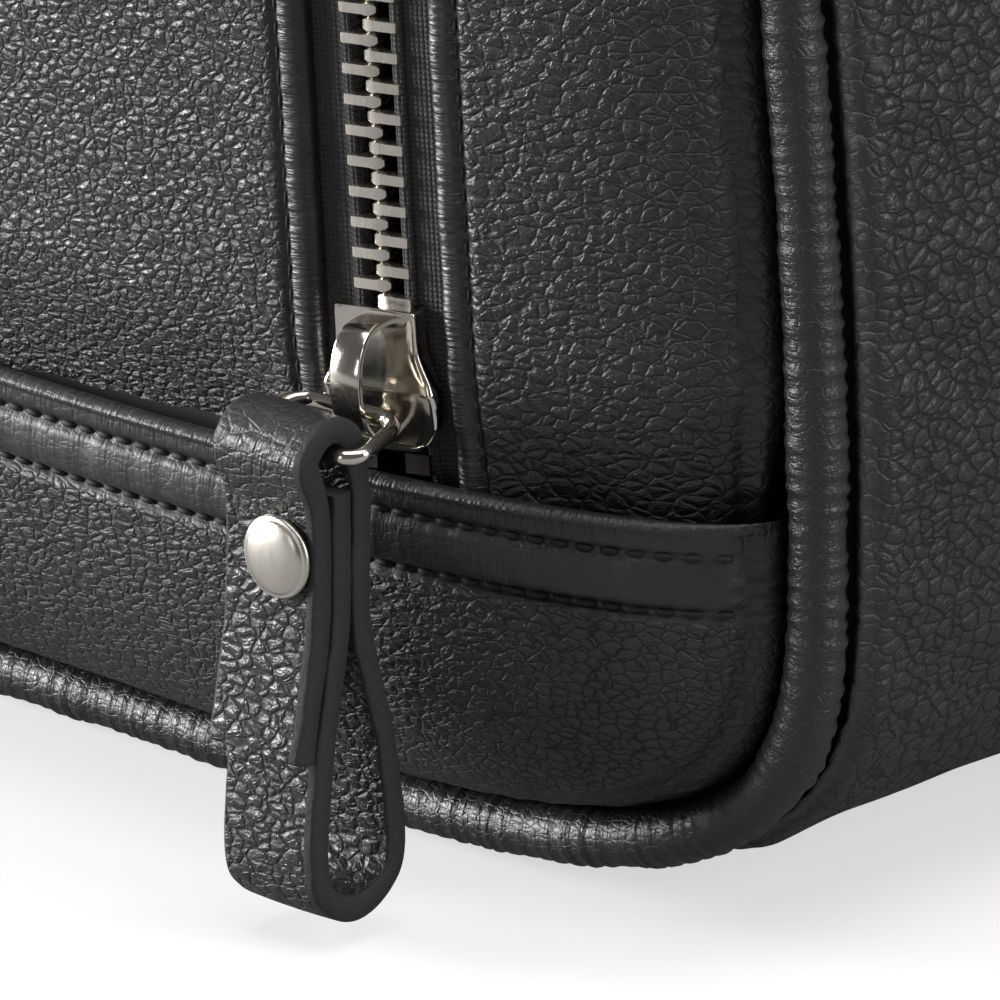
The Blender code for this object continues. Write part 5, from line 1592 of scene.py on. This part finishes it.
def area_light(name, place, size, power):
    """A large soft light aimed at the bag's middle, which the camera doesn't see."""
    data = bpy.data.lights.new(name, "AREA")
    data.shape = "RECTANGLE"
    data.size, data.size_y = size
    data.energy = power
    lamp = bpy.data.objects.new(name, data)
    lamp.location = place
    lamp.rotation_euler = (Vector(place) - LIGHTS_AIM).to_track_quat("Z", "Y").to_euler()
    lamp.visible_camera = False
    bpy.context.scene.collection.objects.link(lamp)


def build_floor():
    """A round pale floor. It glows a little, and more to the camera, so that it looks white there
    and keeps the bag's shadow."""
    mesh = bpy.data.meshes.new("floor")
    angle = np.linspace(0.0, 2 * math.pi, FLOOR_SIDES, endpoint=False)
    rim = np.stack([FLOOR_RADIUS * np.cos(angle), FLOOR_RADIUS * np.sin(angle),
                    0 * angle - FLOOR_DROP], axis=-1)
    mesh.from_pydata(rim.tolist(), [], [list(range(FLOOR_SIDES))])
    made, tree, shader = new_material("floor")
    cloud = put(tree, "ShaderNodeTexNoise", None, {"Vector": object_place(tree), "Scale": 3.0})
    seen = put(tree, "ShaderNodeLightPath").outputs["Is Camera Ray"]
    pale = sums(tree, "MULTIPLY", seen, sums(tree, "ADD", cloud.outputs[0], 0.5))
    paint(tree, shader, pale, (0.27, 0.27, 0.275, 1), (0.42, 0.42, 0.42, 1))
    shader.inputs["Roughness"].default_value = 0.7
    shader.inputs["Specular IOR Level"].default_value = 0.2
    shader.inputs["Emission Color"].default_value = (1.0, 1.0, 1.0, 1.0)
    glow = sums(tree, "MULTIPLY", seen, 0.56)
    tree.links.new(sums(tree, "ADD", glow, 0.06), shader.inputs["Emission Strength"])
    mesh.materials.append(made)
    floor = bpy.data.objects.new("floor", mesh)
    bpy.context.scene.collection.objects.link(floor)


def build_world():
    """A world that is white to the camera and through glass, and dim to mirrors and the rest."""
    world = bpy.data.worlds.new("studio")
    world.use_nodes = True
    bpy.context.scene.world = world
    tree = world.node_tree
    background = tree.nodes["Background"]
    path = put(tree, "ShaderNodeLightPath")
    seen = sums(tree, "MAXIMUM", path.outputs["Is Camera Ray"], path.outputs["Is Transmission Ray"])
    seen = sums(tree, "MAXIMUM", seen, sums(tree, "MULTIPLY", path.outputs["Is Glossy Ray"], 0.12))
    tree.links.new(sums(tree, "MAXIMUM", seen, 0.04), background.inputs["Strength"])
    background.inputs["Color"].default_value = (1.0, 1.0, 1.0, 1.0)


def build_camera():
    """The camera at the photo's angle: a long lens, far enough that a millimetre at the target is
    as wide as in the photo."""
    right = Vector(CAMERA_RIGHT).normalized()
    back = Vector(CAMERA_BACK).normalized()
    up = back.cross(right).normalized()
    target = Vector(CAMERA_TARGET) + right * CAMERA_SLIDE + up * CAMERA_LIFT
    data = bpy.data.cameras.new("camera")
    data.lens = CAMERA_LENS
    data.sensor_width = CAMERA_SENSOR
    data.clip_start, data.clip_end = 0.05, 60.0
    camera = bpy.data.objects.new("camera", data)
    matrix = Matrix((right, up, back)).transposed().to_4x4()
    matrix.translation = target + back * (CAMERA_LENS * PHOTO_WIDTH / CAMERA_SENSOR)
    camera.matrix_world = matrix
    bpy.context.scene.collection.objects.link(camera)
    bpy.context.scene.camera = camera
    bpy.context.scene.view_settings.view_transform = "Standard"


def build_stage():
    """The floor, the world, four soft lights and the camera."""
    look = bpy.context.scene.bag_look
    build_floor()
    build_world()
    area_light("key", (-1.55, -0.95, 0.36), (1.3, 0.7), look.key_power * 2.05)
    area_light("front", (0.05, -1.5, 0.40), (0.16, 0.5), look.key_power * 0.03)
    area_light("top", (0.25, 0.10, 1.5), (1.8, 1.8), look.key_power * 0.85)
    area_light("fill", (1.3, 0.35, 0.5), (0.4, 0.8), look.fill_power)
    build_camera()


class BAG_OT_front(bpy.types.Operator):
    """Build the leather of the front: lower panel, door and border"""

    bl_idname = "bag.front"
    bl_label = "Front leather"

    def execute(self, context):
        build_lower_panel()
        build_door()
        build_border()
        return {"FINISHED"}


class BAG_OT_rear(bpy.types.Operator):
    """Build the rear panel"""

    bl_idname = "bag.rear"
    bl_label = "Rear leather"

    def execute(self, context):
        build_rear()
        return {"FINISHED"}


class BAG_OT_piping(bpy.types.Operator):
    """Build the pleated piping of both seams"""

    bl_idname = "bag.piping"
    bl_label = "Piping"

    def execute(self, context):
        build_piping("piping_front", "front_piping", FRONT, 0.3 * MM, 24)
        build_piping("piping_rear", "rear_piping", REAR, 0.5 * MM, 18)
        return {"FINISHED"}


class BAG_OT_gusset(bpy.types.Operator):
    """Build the gusset in two lengths"""

    bl_idname = "bag.gusset"
    bl_label = "Gusset"

    def execute(self, context):
        build_gusset("gusset_under", "gusset_lower", lambda z: z < GUSSET_JOIN, 0.9 * MM, 84, True)
        build_gusset("gusset_over", "gusset_top", lambda z: z > GUSSET_JOIN + 0.3 * MM, 1.5 * MM, 60,
                     False)
        return {"FINISHED"}


class BAG_OT_lining(bpy.types.Operator):
    """Build the lining behind every leather piece"""

    bl_idname = "bag.lining"
    bl_label = "Lining"

    def execute(self, context):
        build_door_cloth()
        build_linings()
        build_gusset_cloth()
        return {"FINISHED"}


class BAG_OT_zip(bpy.types.Operator):
    """Build the zip's tapes and teeth"""

    bl_idname = "bag.zip"
    bl_label = "Zip"

    def execute(self, context):
        build_tapes()
        build_teeth()
        return {"FINISHED"}


class BAG_OT_stitches(bpy.types.Operator):
    """Build every row of stitches"""

    bl_idname = "bag.stitches"
    bl_label = "Stitches"

    def execute(self, context):
        band_stitches()
        zip_stitches()
        gusset_stitches()
        return {"FINISHED"}


class BAG_OT_slider(bpy.types.Operator):
    """Build the slider and its bridge"""

    bl_idname = "bag.slider"
    bl_label = "Slider"

    def execute(self, context):
        build_slider()
        build_bridge()
        return {"FINISHED"}


class BAG_OT_ring(bpy.types.Operator):
    """Build the wire ring"""

    bl_idname = "bag.ring"
    bl_label = "Ring"

    def execute(self, context):
        build_ring()
        return {"FINISHED"}


class BAG_OT_tab(bpy.types.Operator):
    """Build the leather pull tab and its rivet"""

    bl_idname = "bag.tab"
    bl_label = "Pull tab"

    def execute(self, context):
        build_tab()
        build_rivet()
        return {"FINISHED"}


class BAG_OT_hard_nodes(bpy.types.Operator):
    """Paint the board and the end stops"""

    bl_idname = "bag.hard_nodes"
    bl_label = "Board and stops"

    def execute(self, context):
        paint_hard_nodes()
        return {"FINISHED"}


class BAG_OT_stage(bpy.types.Operator):
    """Build the floor, the lights and the camera"""

    bl_idname = "bag.stage"
    bl_label = "Stage"

    def execute(self, context):
        build_stage()
        return {"FINISHED"}


OPERATORS = (BAG_OT_front, BAG_OT_rear, BAG_OT_piping, BAG_OT_gusset, BAG_OT_lining, BAG_OT_zip,
             BAG_OT_stitches, BAG_OT_slider, BAG_OT_ring, BAG_OT_tab, BAG_OT_hard_nodes, BAG_OT_stage)


class BAG_PT_panel(bpy.types.Panel):
    """Lists the bag's sizes, colours and pieces"""

    bl_idname = "BAG_PT_panel"
    bl_label = "Toiletry bag"
    bl_space_type = "VIEW_3D"
    bl_region_type = "UI"
    bl_category = "Bag"

    def draw(self, context):
        column = self.layout.column()
        for name in BagLook.__annotations__:
            column.prop(context.scene.bag_look, name)
        for operator in OPERATORS:
            column.operator(operator.bl_idname)


def register():
    for part in (BagLook, *OPERATORS, BAG_PT_panel):
        bpy.utils.register_class(part)
    bpy.types.Scene.bag_look = bpy.props.PointerProperty(type=BagLook)


def unregister():
    del bpy.types.Scene.bag_look
    for part in (BAG_PT_panel, *OPERATORS[::-1], BagLook):
        bpy.utils.unregister_class(part)


def main():
    """Build everything in order."""
    register()
    bpy.ops.bag.front()
    bpy.ops.bag.rear()
    bpy.ops.bag.piping()
    bpy.ops.bag.gusset()
    bpy.ops.bag.lining()
    bpy.ops.bag.zip()
    bpy.ops.bag.stitches()
    bpy.ops.bag.slider()
    bpy.ops.bag.ring()
    bpy.ops.bag.tab()
    bpy.ops.bag.hard_nodes()
    bpy.ops.bag.stage()


if __name__ == "__main__":
    main()
